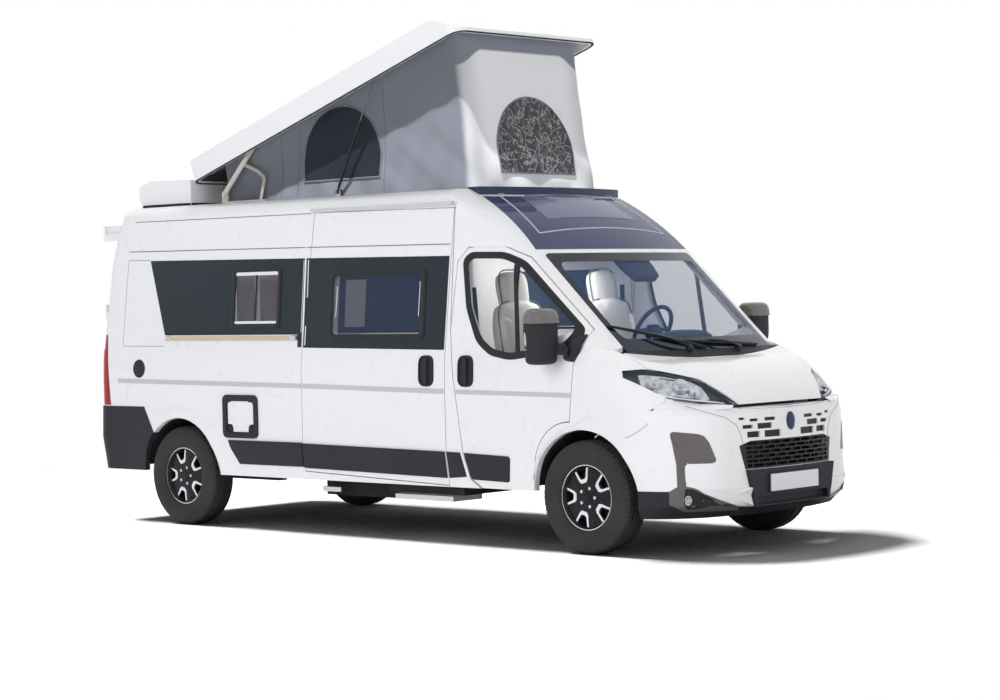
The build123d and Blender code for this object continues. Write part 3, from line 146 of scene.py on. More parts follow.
def new_object(name, data):
    """Object with the given data, linked to the scene."""
    fresh = bpy.data.objects.new(name, data)
    scene.collection.objects.link(fresh)
    return fresh


def area_lamp(name, place, target, size, power, colour=(1, 1, 1)):
    """Square lamp of the given size at a place, turned towards its target, unseen in mirrors; watts."""
    data = bpy.data.lights.new(name, "AREA")
    data.size, data.energy, data.color = size, power, colour
    lamp = new_object(name, data)
    lamp.location = place
    lamp.rotation_euler = (Vector(target) - Vector(place)).to_track_quat("-Z", "Y").to_euler()
    lamp.visible_glossy = False
    return lamp


floor_mesh = bpy.data.meshes.new("studio_floor")
floor_mesh.from_pydata([(-60, -60, 0), (60, -60, 0), (60, 60, 0), (-60, 60, 0)], [], [(0, 1, 2, 3)])
studio_floor = new_object("studio_floor", floor_mesh)


def lights_only(lamp, state, pieces=()):
    """Link the lamp to the pieces, or to the floor, alone (INCLUDE) or to everything but them (EXCLUDE)."""
    group = lamp.light_linking.receiver_collection or bpy.data.collections.new(lamp.name + " receivers")
    lamp.light_linking.receiver_collection = group
    for piece in pieces or [studio_floor]:
        group.objects.link(piece)
    for entry in group.collection_objects:
        entry.light_linking.link_state = state


def sun_lamp(name, direction, energy, angle):
    """Sun that shines along the direction, with its angle in degrees, unseen in mirrors."""
    data = bpy.data.lights.new(name, "SUN")
    data.energy, data.angle = energy, math.radians(angle)
    lamp = new_object(name, data)
    lamp.rotation_euler = Vector(direction).to_track_quat("-Z", "Y").to_euler()
    lamp.visible_glossy = False
    return lamp


VAN_LAMPS = [("sky over the van", (0, 0, 12.5), 16.0, 560, (0.97, 0.985, 1.0)),
             ("key above and behind", (-4.0, 4.0, 12.0), 5.0, 1000, (1.0, 0.985, 0.96)),
             ("fill for the side", (2.0, -17.0, 7.0), 9.0, 1250, (0.99, 0.995, 1.0)),
             ("fill for the nose", (16.0, -3.0, 6.5), 7.0, 750, (1.0, 0.99, 0.98))]
for name, spot, size, power, colour in VAN_LAMPS:
    lights_only(area_lamp(name, spot, (0.5, 0, 1.2), size, power, colour), "EXCLUDE")
for name, spot, aim, size, power in (("cab light", (1.12, 0, 1.98), (1.6, 0, 0.5), 0.5, 11),
                                     ("living space light", (-0.7, 0, 2.15), (-0.9, 0, 0.5), 1.4, 34)):
    lamp = area_lamp(name, spot, aim, size, power)
    lamp.visible_camera = lamp.visible_transmission = False
lights_only(sun_lamp("floor sun", (0.72, 0.05, -1.0), 4.0, 17), "INCLUDE")

# %% [markdown]
# ## Finishes
#
# A finish is more than a colour. Paint has a clear coat over slightly uneven pigment, moulded plastic a fine
# grain that breaks the highlight, rubber a grey bloom. One function builds them all: a soft noise shifts the
# colour between two tones, a second one the roughness, and a fine pattern lifts the surface a little as bump.
# All patterns are laid out on Object coordinates, so they keep their scale whatever the piece.

# %% One function for most finishes
BUMP_DEPTH = 0.001


def finish(name, tone, other=None, rough=(0.4, 0.5), metal=0.0, coat=0.0, patch=2.0, grain=400.0, bump=0.05,
           alpha=1.0, gloss=0.5, sheen=0.0, pattern="noise", stretch=(1, 1, 1)):
    """Node material: colour = mix of two tones by a soft noise, roughness = range by a finer noise,
    height = a fine pattern (noise, cells or weave) times the bump strength."""
    material = bpy.data.materials.new(name)
    material.use_nodes = True
    tree = material.node_tree
    shader = tree.nodes["Principled BSDF"]
    for socket, value in (("Metallic", metal), ("Coat Weight", coat), ("Coat Roughness", 0.04),
                          ("Alpha", alpha), ("Specular IOR Level", gloss), ("Sheen Weight", sheen)):
        shader.inputs[socket].default_value = value
    place, turn = add_node(tree, "TexCoord"), add_node(tree, "Mapping", {"Scale": stretch})
    broad = add_node(tree, "TexNoise", {"Scale": patch, "Detail": 4.0})
    darker = tuple(0.88 * c for c in tone)
    tones = add_node(tree, "Mix", {"A": (*tone, 1), "B": (*(other or darker), 1)}, data_type="RGBA")
    middle = add_node(tree, "TexNoise", {"Scale": patch * 9})
    span = add_node(tree, "MapRange", {"To Min": rough[0], "To Max": rough[1]})
    link_nodes(tree, (place.outputs["Object"], turn.inputs["Vector"]),
               (turn.outputs[0], broad.inputs["Vector"]), (broad.outputs["Fac"], tones.inputs["Factor"]),
               (tones.outputs["Result"], shader.inputs["Base Color"]),
               (turn.outputs[0], middle.inputs["Vector"]), (middle.outputs["Fac"], span.inputs["Value"]),
               (span.outputs[0], shader.inputs["Roughness"]))
    if pattern == "weave":
        warp, weft = [add_node(tree, "TexWave", {"Scale": grain, "Distortion": 1.5}, bands_direction=way)
                      for way in ("Z", "DIAGONAL")]
        product = add_node(tree, "Math", operation="MULTIPLY")
        link_nodes(tree, (turn.outputs[0], warp.inputs["Vector"]), (turn.outputs[0], weft.inputs["Vector"]),
                   (warp.outputs["Fac"], product.inputs[0]), (weft.outputs["Fac"], product.inputs[1]))
        height = product.outputs[0]
    else:
        cells = pattern == "cells"
        kind, values = ("TexVoronoi", {}) if cells else ("TexNoise", {"Detail": 3.0})
        fine = add_node(tree, kind, {"Scale": grain, **values})
        height = fine.outputs["Distance" if cells else "Fac"]
        link_nodes(tree, (turn.outputs[0], fine.inputs["Vector"]))
    relief = add_node(tree, "Bump", {"Strength": bump, "Distance": BUMP_DEPTH})
    link_nodes(tree, (height, relief.inputs["Height"]), (relief.outputs["Normal"], shader.inputs["Normal"]))
    return material


PAINT = finish("body_white_paint", (0.85, 0.855, 0.87), (0.83, 0.835, 0.855), (0.26, 0.30), coat=0.5,
               patch=0.7, grain=60, bump=0.0, gloss=0.4)
GEL = finish("roof_gelcoat", (0.87, 0.875, 0.89), (0.84, 0.85, 0.87), (0.30, 0.36), coat=0.3, patch=1.1,
             grain=60, bump=0.01, gloss=0.4)
TRIM_BLACK = finish("grained_black_plastic", (0.020, 0.022, 0.026), (0.032, 0.034, 0.040), (0.42, 0.58),
                    patch=3, grain=900, bump=0.35, pattern="cells", gloss=0.15)
TRIM_GREY = finish("grained_grey_plastic", (0.060, 0.062, 0.068), (0.085, 0.086, 0.092), (0.45, 0.6), patch=3,
                   grain=900, bump=0.35, pattern="cells", gloss=0.3)
BRONZE_GREY = finish("brown_grey_insert", (0.085, 0.073, 0.073), (0.13, 0.113, 0.112), (0.32, 0.42), patch=4,
                     grain=900, bump=0.1, coat=0.2)
PANEL = finish("dark_side_film", (0.012, 0.019, 0.026), (0.016, 0.025, 0.034), (0.30, 0.36), patch=1.2,
               grain=600, bump=0.03, gloss=0.22)
SATIN = finish("satin_black", (0.012, 0.013, 0.015), (0.022, 0.023, 0.026), (0.3, 0.4), patch=6, grain=700,
               bump=0.1, gloss=0.22)
GLOSS = finish("gloss_black", (0.006, 0.009, 0.018), (0.010, 0.014, 0.026), (0.10, 0.16), coat=0.1, patch=6,
               grain=700, bump=0.01, gloss=0.3)
NAVY = finish("navy_gloss", (0.010, 0.020, 0.060), (0.014, 0.028, 0.080), (0.12, 0.18), patch=3, grain=500,
              bump=0.01, gloss=0.35)
RUBBER = finish("seal_rubber", (0.012, 0.012, 0.013), (0.025, 0.025, 0.026), (0.6, 0.8), patch=8, grain=500,
                bump=0.2, gloss=0.2)
TYRE_RUBBER = finish("tyre_rubber", (0.024, 0.024, 0.025), (0.050, 0.048, 0.047), (0.62, 0.82), patch=5,
                     grain=350, bump=0.5, gloss=0.2)
ALU = finish("anodised_aluminium", (0.66, 0.67, 0.69), (0.56, 0.57, 0.59), (0.28, 0.42), metal=1.0, patch=5,
             grain=200, bump=0.15, stretch=(0.05, 1, 1))
CUT_ALU = finish("machined_alloy", (0.80, 0.81, 0.83), (0.70, 0.71, 0.74), (0.14, 0.24), metal=1.0, patch=9,
                 grain=700, bump=0.08)
ALLOY_BLACK = finish("black_alloy", (0.006, 0.007, 0.009), (0.012, 0.013, 0.016), (0.22, 0.30), patch=9,
                     grain=700, bump=0.05, gloss=0.2)
CHASSIS = finish("underbody_coating", (0.022, 0.022, 0.024), (0.045, 0.042, 0.040), (0.6, 0.8), patch=4,
                 grain=120, bump=0.5, gloss=0.1)
IRON = finish("cast_iron", (0.12, 0.12, 0.125), (0.07, 0.07, 0.07), (0.5, 0.7), metal=0.6, patch=6,
              grain=150, bump=0.5)
WOOD_TRIM = finish("wood_decor", (0.66, 0.52, 0.36), (0.52, 0.39, 0.25), (0.35, 0.5), patch=14, grain=300,
                   bump=0.15, coat=0.3, stretch=(0.06, 1, 1))
LAMINATE = finish("light_laminate", (0.62, 0.60, 0.57), (0.55, 0.53, 0.50), (0.4, 0.55), patch=9, grain=400,
                  bump=0.1, stretch=(0.1, 0.1, 1))
INSIDE_SHADE_SHEET = finish("night_shade_cloth", (0.05, 0.075, 0.15), (0.04, 0.06, 0.12), (0.7, 0.85), patch=3,
                    grain=700, bump=0.2, pattern="weave")
WEBBING = finish("pale_strap_webbing", (0.62, 0.60, 0.54), (0.52, 0.50, 0.45), (0.7, 0.85), patch=8,
                 grain=900, bump=0.3, pattern="weave")
LINKAGE = finish("beige_painted_steel", (0.62, 0.60, 0.54), (0.50, 0.48, 0.43), (0.35, 0.5), patch=8,
                 grain=300, bump=0.1)
ROD = finish("polished_rod", (0.20, 0.21, 0.23), (0.14, 0.15, 0.17), (0.12, 0.2), metal=1.0, patch=20,
             grain=500, bump=0.05)
PLATE_WHITE = finish("blank_plate", (0.80, 0.81, 0.83), (0.76, 0.77, 0.79), (0.3, 0.4), patch=6,
                     grain=500, bump=0.05)
INNER_LIGHT = finish("light_lining", (0.60, 0.60, 0.60), (0.52, 0.52, 0.53), (0.6, 0.75), patch=3,
                     grain=300, bump=0.2)
DASH = finish("dashboard_plastic", (0.030, 0.036, 0.048), (0.048, 0.056, 0.072), (0.5, 0.65), patch=4,
              grain=800, bump=0.3, pattern="cells", gloss=0.25)
SEAT_CLOTH = finish("cream_seat_cloth", (0.86, 0.84, 0.78), (0.78, 0.76, 0.70), (0.7, 0.85), sheen=0.3,
                    patch=6, grain=350, bump=0.35, pattern="weave")
BLIND_CLOTH = finish("tan_pleated_blind", (0.50, 0.40, 0.33), (0.66, 0.57, 0.49), (0.7, 0.85), patch=12,
                     grain=300, bump=0.3, pattern="weave")
MESH_DARK = finish("insect_mesh", (0.016, 0.020, 0.030), (0.028, 0.034, 0.048), (0.5, 0.65), patch=5,
                   grain=900, bump=0.4, pattern="cells", gloss=0.15)
RED_LENS = finish("red_lens", (0.40, 0.004, 0.010), (0.28, 0.003, 0.008), (0.12, 0.18), patch=9, grain=90,
                  bump=0.15, pattern="cells", gloss=0.35)
CLEAR_LENS = finish("clear_lens", (0.45, 0.50, 0.60), (0.40, 0.45, 0.55), (0.02, 0.04), patch=3, grain=60,
                    bump=0.01, alpha=0.08, gloss=0.45)
CHROME = finish("lamp_reflector", (0.95, 0.96, 1.0), (0.10, 0.11, 0.15), (0.08, 0.16), metal=1.0, patch=26,
                grain=90, bump=0.25, pattern="cells")
SCREEN_GLASS = finish("windscreen_glass", (0.030, 0.100, 0.270), (0.026, 0.090, 0.240), (0.01, 0.02), patch=1,
                      grain=20, bump=0.003, alpha=0.24, gloss=0.35)
DOOR_GLASS = finish("cab_door_glass", (0.07, 0.11, 0.13), (0.06, 0.10, 0.12), (0.01, 0.02), patch=1, grain=20,
                    bump=0.003, alpha=0.14, gloss=0.35)
DARK_GLASS = finish("tinted_acrylic", (0.010, 0.022, 0.065), (0.014, 0.030, 0.080), (0.03, 0.05), patch=1.5,
                    grain=12, bump=0.01, alpha=0.38, gloss=0.4)
SKY_GLASS = finish("roof_window_glass", (0.022, 0.038, 0.130), (0.030, 0.050, 0.160), (0.02, 0.03), patch=1.2,
                   grain=12, bump=0.004, alpha=0.72, gloss=0.45)
FADE_START, FADE_END = 5.2, 8.0


def studio_white():
    """Matt white floor, brighter for the camera and fading to plain white from FADE_START to FADE_END."""
    material = bpy.data.materials.new("studio_floor_white")
    material.use_nodes = True
    tree = material.node_tree
    tree.nodes.clear()
    matt = add_node(tree, "BsdfDiffuse", {"Color": (0.85, 0.85, 0.86, 1)})
    boost = add_node(tree, "BsdfDiffuse", {"Color": (0.42, 0.42, 0.42, 1)})
    both, glow, place, rays, far, seen, output = [add_node(tree, kind) for kind in (
        "AddShader", "Emission", "TexCoord", "LightPath", "MixShader", "MixShader", "OutputMaterial")]
    radius = add_node(tree, "VectorMath", operation="LENGTH")
    fade = add_node(tree, "MapRange", {"From Min": FADE_START, "From Max": FADE_END},
                    interpolation_type="SMOOTHSTEP")
    link_nodes(tree, (matt.outputs[0], both.inputs[0]), (boost.outputs[0], both.inputs[1]),
               (place.outputs["Object"], radius.inputs[0]), (radius.outputs["Value"], fade.inputs["Value"]),
               (fade.outputs[0], far.inputs["Fac"]), (both.outputs[0], far.inputs[1]),
               (glow.outputs[0], far.inputs[2]), (rays.outputs["Is Camera Ray"], seen.inputs["Fac"]),
               (matt.outputs[0], seen.inputs[1]), (far.outputs[0], seen.inputs[2]),
               (seen.outputs[0], output.inputs["Surface"]))
    return material


floor_mesh.materials.append(studio_white())
print("finishes:", len(bpy.data.materials))

# %% [markdown]
# ## The solids get their finishes
#
# Most solids already have the right shape, so only their material changes. The table reads like a parts list
# with one finish each.

# %% Finishes of the solids
SOLID_FINISH = {
    PAINT: ["side_wall_right", "side_wall_left", "sliding_door", "roof_panel", "cab_frame", "fenders",
            "bonnet", "front_bumper", "cab_door_right", "cab_door_left", "rear_door_right", "rear_door_left",
            "service_hatch"],
    GEL: ["roof_shell", "roof_unit"],
    TRIM_BLACK: ["rear_bumper", "side_mouldings", "cowl", "wheel_liners", "lower_bumper"],
    SATIN: ["grille", "strut_barrels"],
    NAVY: ["visor"],
    DARK_GLASS: ["side_windows", "rear_glass_right", "rear_glass_left"],
    SKY_GLASS: ["skyroof"],
    SCREEN_GLASS: ["windscreen"],
    DOOR_GLASS: ["cab_glass_right", "cab_glass_left"],
    CLEAR_LENS: ["headlamps"],
    RED_LENS: ["tail_lamps"],
    ALU: ["outer_rails", "entrance_step"],
    CHASSIS: ["floor", "underbody", "front_axle", "rear_axle", "knuckle_right", "knuckle_left"],
    IRON: ["engine"],
    DASH: ["dashboard"],
    LAMINATE: ["furniture"],
    LINKAGE: ["lift_arms", "lift_bases"],
    ROD: ["strut_rods"],
}
for material, names in SOLID_FINISH.items():
    for name in names:
        node = frame["nodes"][name]
        if not node.data.materials:
            node.data.materials.append(material)
        for slot in node.material_slots:
            slot.material = material
print("dressed solids:", sum(len(names) for names in SOLID_FINISH.values()))


# %% [markdown]
# ## Four kinds of surface
#
# Every new piece is a grid of points. `grid_faces` numbers its quads, `make_piece` turns one or more grids
# into a closed mesh, and the four shape functions work out the points: `plate` draws an outline in towards
# its centre, `ring` fills the space between two outlines, `tube` carries a circle along a path and `turned`
# spins a profile.

# %% Grids and pieces
def grid_faces(rows, columns, wrap_rows=False):
    """Quads of a grid whose columns close on themselves: point (i, j) is number i * columns + j."""
    i, j = np.meshgrid(np.arange(rows if wrap_rows else rows - 1), np.arange(columns), indexing="ij")
    down, along = (i + 1) % rows, (j + 1) % columns
    quads = np.stack([i * columns + j, down * columns + j, down * columns + along, i * columns + along], -1)
    return quads.reshape(-1, 4)


def make_piece(name, shells, material, body, smooth=35.0, weld=0.02):
    """Mesh from a list of (points in millimetres, quads): joined, doubles merged, normals turned outwards."""
    points, quads, start = [], [], 0
    for shell_points, shell_quads in shells:
        flat = np.asarray(shell_points, float).reshape(-1, 3)
        points.append(flat)
        quads.append(shell_quads + start)
        start += len(flat)
    mesh = bpy.data.meshes.new(name)
    mesh.from_pydata((np.concatenate(points) * MM).tolist(), [], np.concatenate(quads).tolist())
    work = bmesh.new()
    work.from_mesh(mesh)
    bmesh.ops.remove_doubles(work, verts=work.verts, dist=weld * MM)
    bmesh.ops.recalc_face_normals(work, faces=work.faces)
    work.to_mesh(mesh)
    work.free()
    mesh.shade_smooth()
    mesh.set_sharp_from_angle(angle=math.radians(smooth))
    mesh.materials.append(material)
    piece = new_object(name, mesh)
    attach(piece, body)
    return piece


def rounded(corners, radius, steps=6):
    """Closed outline with rounded corners: each is a quadratic curve from radius before to radius after."""
    corners = np.asarray(corners, float)
    back, onward = np.roll(corners, 1, 0) - corners, np.roll(corners, -1, 0) - corners
    reach_back, reach_onward = np.linalg.norm(back, axis=1), np.linalg.norm(onward, axis=1)
    reach = np.minimum(radius, 0.48 * np.minimum(reach_back, reach_onward))
    start = corners + back / reach_back[:, None] * reach[:, None]
    end = corners + onward / reach_onward[:, None] * reach[:, None]
    t = np.linspace(0, 1, steps)[None, :, None]
    curve = (1 - t) ** 2 * start[:, None] + 2 * t * (1 - t) * corners[:, None] + t ** 2 * end[:, None]
    return curve.reshape(-1, 2)


def box_outline(x0, x1, z0, z1, radius, steps=6):
    """Rounded rectangle between two x and two z."""
    return rounded([(x0, z0), (x1, z0), (x1, z1), (x0, z1)], radius, steps)


def along(knots, count):
    """A count of points on the open line through the knots, in as many coordinates as they have."""
    knots = np.asarray(knots, float)
    share = np.linspace(0, len(knots) - 1, count)
    return np.stack([np.interp(share, np.arange(len(knots)), column) for column in knots.T], -1)


def densify(outline, step):
    """The closed outline with points added so that none of its runs is longer than the step."""
    outline = np.asarray(outline, float)
    nxt = np.roll(outline, -1, 0)
    counts = np.maximum(1, np.ceil(np.linalg.norm(nxt - outline, axis=1) / step).astype(int))
    index = np.repeat(np.arange(len(outline)), counts)
    share = (np.arange(counts.sum()) - np.repeat(np.cumsum(counts) - counts, counts)) / counts[index]
    return outline[index] + (nxt[index] - outline[index]) * share[:, None]


def cross_rays(outline, centre, angles):
    """Where rays from the centre at these angles leave the closed outline: each ray meets every run, and the
    farthest meeting inside a run counts."""
    a = np.asarray(outline, float) - centre
    b = np.roll(a, -1, 0) - a
    ray = np.stack([np.cos(angles), np.sin(angles)], -1)[:, None]
    det = ray[..., 0] * b[None, :, 1] - ray[..., 1] * b[None, :, 0]
    det = np.where(np.abs(det) < 1e-9, 1e-9, det)
    reach = (a[None, :, 0] * b[None, :, 1] - a[None, :, 1] * b[None, :, 0]) / det
    share = (a[None, :, 0] * ray[..., 1] - a[None, :, 1] * ray[..., 0]) / det
    reach = np.where((share >= -1e-6) & (share <= 1 + 1e-6), reach, -1)
    return centre + ray[:, 0] * reach.max(1)[:, None]


def spread(*values):
    """The values as arrays of one common shape."""
    return np.broadcast_arrays(*(np.asarray(value, float) for value in values))


def plate(outline, rows, place, centre=None):
    """Closed plate. Each row is (share, inset, height): the outline drawn in by the inset, then shrunk by the
    share towards the centre, at that height; place puts outline coordinates and height in space."""
    outline = np.asarray(outline, float)
    centre = outline.mean(0) if centre is None else np.asarray(centre, float)
    arm = outline - centre
    reach = np.linalg.norm(arm, axis=1, keepdims=True)
    share, inset, height = np.asarray(rows, float).T[:, :, None, None]
    flat = centre + arm[None] * (1 - inset / reach[None]) * share
    points = place(flat[..., 0], flat[..., 1], np.broadcast_to(height[..., 0], flat.shape[:2]))
    return points, grid_faces(len(rows), len(outline))


def ring(outer, inner, rows, place, centre=None):
    """Closed band between two outlines; rows are (share, height), share 0 is the inner one, 1 the outer."""
    centre = np.asarray(inner, float).mean(0) if centre is None else np.asarray(centre, float)
    around = [np.arctan2(*(np.asarray(o, float) - centre).T[::-1]) for o in (outer, inner)]
    angles = np.unique(np.round(np.concatenate(around), 5))
    out_points, in_points = cross_rays(outer, centre, angles), cross_rays(inner, centre, angles)
    share, height = np.asarray(rows, float).T[:, :, None, None]
    flat = in_points[None] + (out_points - in_points)[None] * share
    points = place(flat[..., 0], flat[..., 1], np.broadcast_to(height[..., 0], flat.shape[:2]))
    return points, grid_faces(len(rows), len(angles), wrap_rows=True)


def tube(path, radius, sides=10, side_hint=(0, 0, 1), flat=1.0):
    """Closed tube: a circle of the radius (a number, or one per point), flattened by the given factor,
    carried along the path; both ends are drawn to a point."""
    path = np.asarray(path, float)
    along = np.gradient(path, axis=0)
    along /= np.linalg.norm(along, axis=1, keepdims=True)
    u = np.cross(np.asarray(side_hint, float), along)
    u /= np.linalg.norm(u, axis=1, keepdims=True)
    v = np.cross(along, u)
    radius = np.broadcast_to(np.asarray(radius, float), (len(path),))
    path = np.concatenate([path[:1], path, path[-1:]])
    u, v = np.concatenate([u[:1], u, u[-1:]]), np.concatenate([v[:1], v, v[-1:]])
    radius = np.concatenate([[0], radius, [0]])
    turn = np.linspace(0, 2 * np.pi, sides, endpoint=False)
    circle = np.cos(turn)[None, :, None] * u[:, None] + np.sin(turn)[None, :, None] * v[:, None] * flat
    return path[:, None] + circle * radius[:, None, None], grid_faces(len(path), sides)


def turned(profile, place, sides=48):
    """Profile rows (radius, height) spun round the height axis and put in place."""
    radius, height = np.asarray(profile, float).T[:, :, None]
    turn = np.linspace(0, 2 * np.pi, sides, endpoint=False)[None]
    points = place(radius * np.cos(turn), radius * np.sin(turn),
                   np.broadcast_to(height, (len(profile), sides)))
    return points, grid_faces(len(profile), sides)


def signed_power(value, exponent):
    """The value's size raised to the exponent, with the value's own sign."""
    return np.sign(value) * np.abs(value) ** exponent


def egg(centre, radii, squareness=(0.5, 0.5), low=-90.0, high=90.0, rings=24, sides=40):
    """Superellipsoid between two latitudes: cosines and sines raised to the squareness, times the radii."""
    lat = np.radians(np.linspace(low, high, rings))[:, None]
    lon = np.linspace(0, 2 * np.pi, sides, endpoint=False)[None]
    around = signed_power(np.cos(lat), squareness[0])
    x = around * signed_power(np.cos(lon), squareness[1])
    y = around * signed_power(np.sin(lon), squareness[1])
    z = np.broadcast_to(signed_power(np.sin(lat), squareness[0]), x.shape)
    points = np.stack([x, y, z], -1)
    first, last = points[:1] * (0, 0, 1), points[-1:] * (0, 0, 1)
    return np.concatenate([first, points, last]) * radii + centre, grid_faces(rings + 2, sides)


# %% [markdown]
# ## The van's side as a function
#
# Trims have to lie on the skin. The side of the body is straight along the van, upright in the middle and
# leans in above the waist, so one short function gives its half width at any height.

# %% The side skin
def skin_half(z):
    """Half width of the body: 1025 at the waist, less 87 mm for each metre above it, drawn in at the sill."""
    z = np.asarray(z, float)
    return 1025 - 0.087 * np.maximum(0, z - 1180) - 32 * np.clip((620 - z) / 225, 0, 1)


def on_side(side):
    """Place function for the side: x along the van, z up, height outwards from the skin."""
    return lambda x, z, out: np.stack([x, side * (skin_half(z) + out), z], -1)


def upright(side, half):
    """Place function of an upright plane along the van, at a half width: x, z, and the height outwards."""
    return lambda x, z, out: np.stack([x, side * (half + out), z], -1)


def soft_edge(height, shoulder, edge, back, bevel=5, middle=0.6):
    """Rows of a plate: flat to the middle share, a shoulder one bevel in, the edge, and the closed back."""
    return [(0, 0, height), (middle, 0, height), (1, bevel, shoulder), (1, 0, edge),
            (1, 0, back), (0, 0, back)]


def flat_edge(height, back=-1.0, bevel=1.5):
    """Rows of a plate that is flat up to a small bevel."""
    return soft_edge(height, height, height - bevel, back, bevel, 0.5)


def film_rows(height, back, steps):
    """Rows of a thin plate with several steps from its centre to its edge, so that it can bend."""
    return [(share, 0, height) for share in np.linspace(0, 1, steps)] + [(1, 0, back), (0, 0, back)]


print("half width at waist and roof:", skin_half(1180), skin_half(2300))

# %% [markdown]
# ## Dark side panels, seams and stripes
#
# A dark film covers the wall round the side windows. It is a band between two outlines: the film's edge and
# the window's hole. The pressed lines of the sheet metal are thin grooves, and at this distance a groove is a
# dark line with a light edge, so it is made of a slim strip that stands half a millimetre proud. Its dark
# grey is painted shade of the groove. The wider swage band below the waist is grey as painted shade of
# that concave line.

# %% Dark film round the windows
REAR_PANE = (-1361, -870, 1507, 1913)
DOOR_PANE = (-302, 604, 1424, 1868)
FILM_ROWS = [(0, 1.2), (1, 1.2), (1, -0.4), (0, -0.4)]
for side, tag in SIDES:
    rear_film = ring(densify([(-2353, 2012), (-606, 1988), (-606, 1440), (-2144, 1440)], 400),
                     box_outline(*REAR_PANE, 60), FILM_ROWS, on_side(side))
    front_film = ring(densify([(-588, 1988), (842, 1968), (822, 1329), (-588, 1345)], 400),
                      box_outline(*DOOR_PANE, 60), FILM_ROWS, on_side(side))
    corner_film = plate([(-650, 1440), (-606, 1440), (-606, 1347), (-650, 1350)], flat_edge(1.2, -0.4, 0.3),
                        on_side(side))
    make_piece(f"side_film_{tag}", [rear_film, front_film, corner_film], PANEL, "van")

# %% Lines of the pressings and the swage band, strips in painted shade, and the white stripe
def strip(x0, z0, x1, z1, width, out, side, place=None):
    """Slim strip on the side from one point to another, of the given width, standing out from the skin."""
    run = np.array([x1 - x0, z1 - z0], float)
    sideways = np.array([-run[1], run[0]]) / np.linalg.norm(run) * width / 2
    a, b = np.array([x0, z0]), np.array([x1, z1])
    corners = densify([a - sideways, b - sideways, b + sideways, a + sideways], 600)
    return plate(corners, flat_edge(out, -0.5, min(0.3, width / 4)), place or on_side(side),
                 centre=(a + b) / 2)


GROOVE_SHADE = finish("painted_groove_shade", (0.16, 0.165, 0.18), (0.12, 0.125, 0.14), (0.5, 0.6), patch=4,
                grain=300, bump=0.05)
SWAGE_SHADE = finish("shaded_swage", (0.56, 0.56, 0.60), (0.50, 0.505, 0.54), (0.3, 0.4), patch=1, grain=500,
              bump=0.03, coat=0.4)
for side, tag in SIDES:
    # The dark grey of the pressed lines is painted shade in their grooves
    lines = [strip(-2620, 2088, -604, 2066, 7, 0.6, side), strip(-590, 2066, 840, 2048, 7, 0.6, side),
             strip(-2560, 2316, -560, 2309, 6, 0.6, side),
             strip(-2620, 2021, -2358, 2017, 4, 0.5, side), strip(-2620, 2021, -2650, 1362, 4, 0.5, side),
             strip(-2650, 1359, -2150, 1356, 4, 0.5, side)]
    make_piece(f"pressed_lines_{tag}", lines, GROOVE_SHADE, "van")
    # The grey of the swage band is painted shade of the concave swage
    bands = [strip(-2700, 1090, -604, 1070, 34, 2.6, side), strip(-590, 1070, 823, 1047, 34, 2.6, side)]
    make_piece(f"swage_band_{tag}", bands, SWAGE_SHADE, "van")
    stripes = [strip(-566, 1975, -563, 1705, 9, 1.8, side), strip(-569, 1500, -571, 1362, 9, 1.8, side),
               strip(-613, 1975, -615, 1452, 5, 1.8, side)]
    make_piece(f"white_stripe_{tag}", stripes, PLATE_WHITE, "van")

# %% [markdown]
# ## Side windows
#
# A camper window is a double acrylic pane in a rubber frame that stands a little proud. Behind the rear one
# hang two pleated blinds between white rails; a cloth pleat is a triangle wave in depth across its width.
# Behind the window of the sliding door a pale blind hangs in front of a navy sheet, which is painted shade
# for the dark inside seen through the tinted pane.

# %% Window frames and blinds
FRAME_ROWS = [(0, 2), (0.2, 6), (0.85, 8), (1, 5), (1, -1), (0, -1)]


def pleats(x0, x1, z0, z1, depth, side, inside, count):
    """Closed pleated cloth: depth follows a triangle wave across x; its back lies 1.5 mm further in."""
    columns = 2 * count + 1
    x = np.linspace(x0, x1, columns)
    wave = depth * np.abs((np.arange(columns) % 2) - 0.5) * 2 * (np.arange(columns) % 2)
    front = np.stack([x, side * (skin_half((z0 + z1) / 2) - inside - wave)], -1)
    rear = front[::-1] - (0, side * 1.5)
    around = np.concatenate([front, rear])
    rows = np.array([z0, z0, z1, z1], float)
    points = np.stack(spread(around[None, :, 0], around[None, :, 1], rows[:, None]), -1)
    for end in (0, 3):
        points[end, :, :2] = around.mean(0)
    return points, grid_faces(4, len(around))


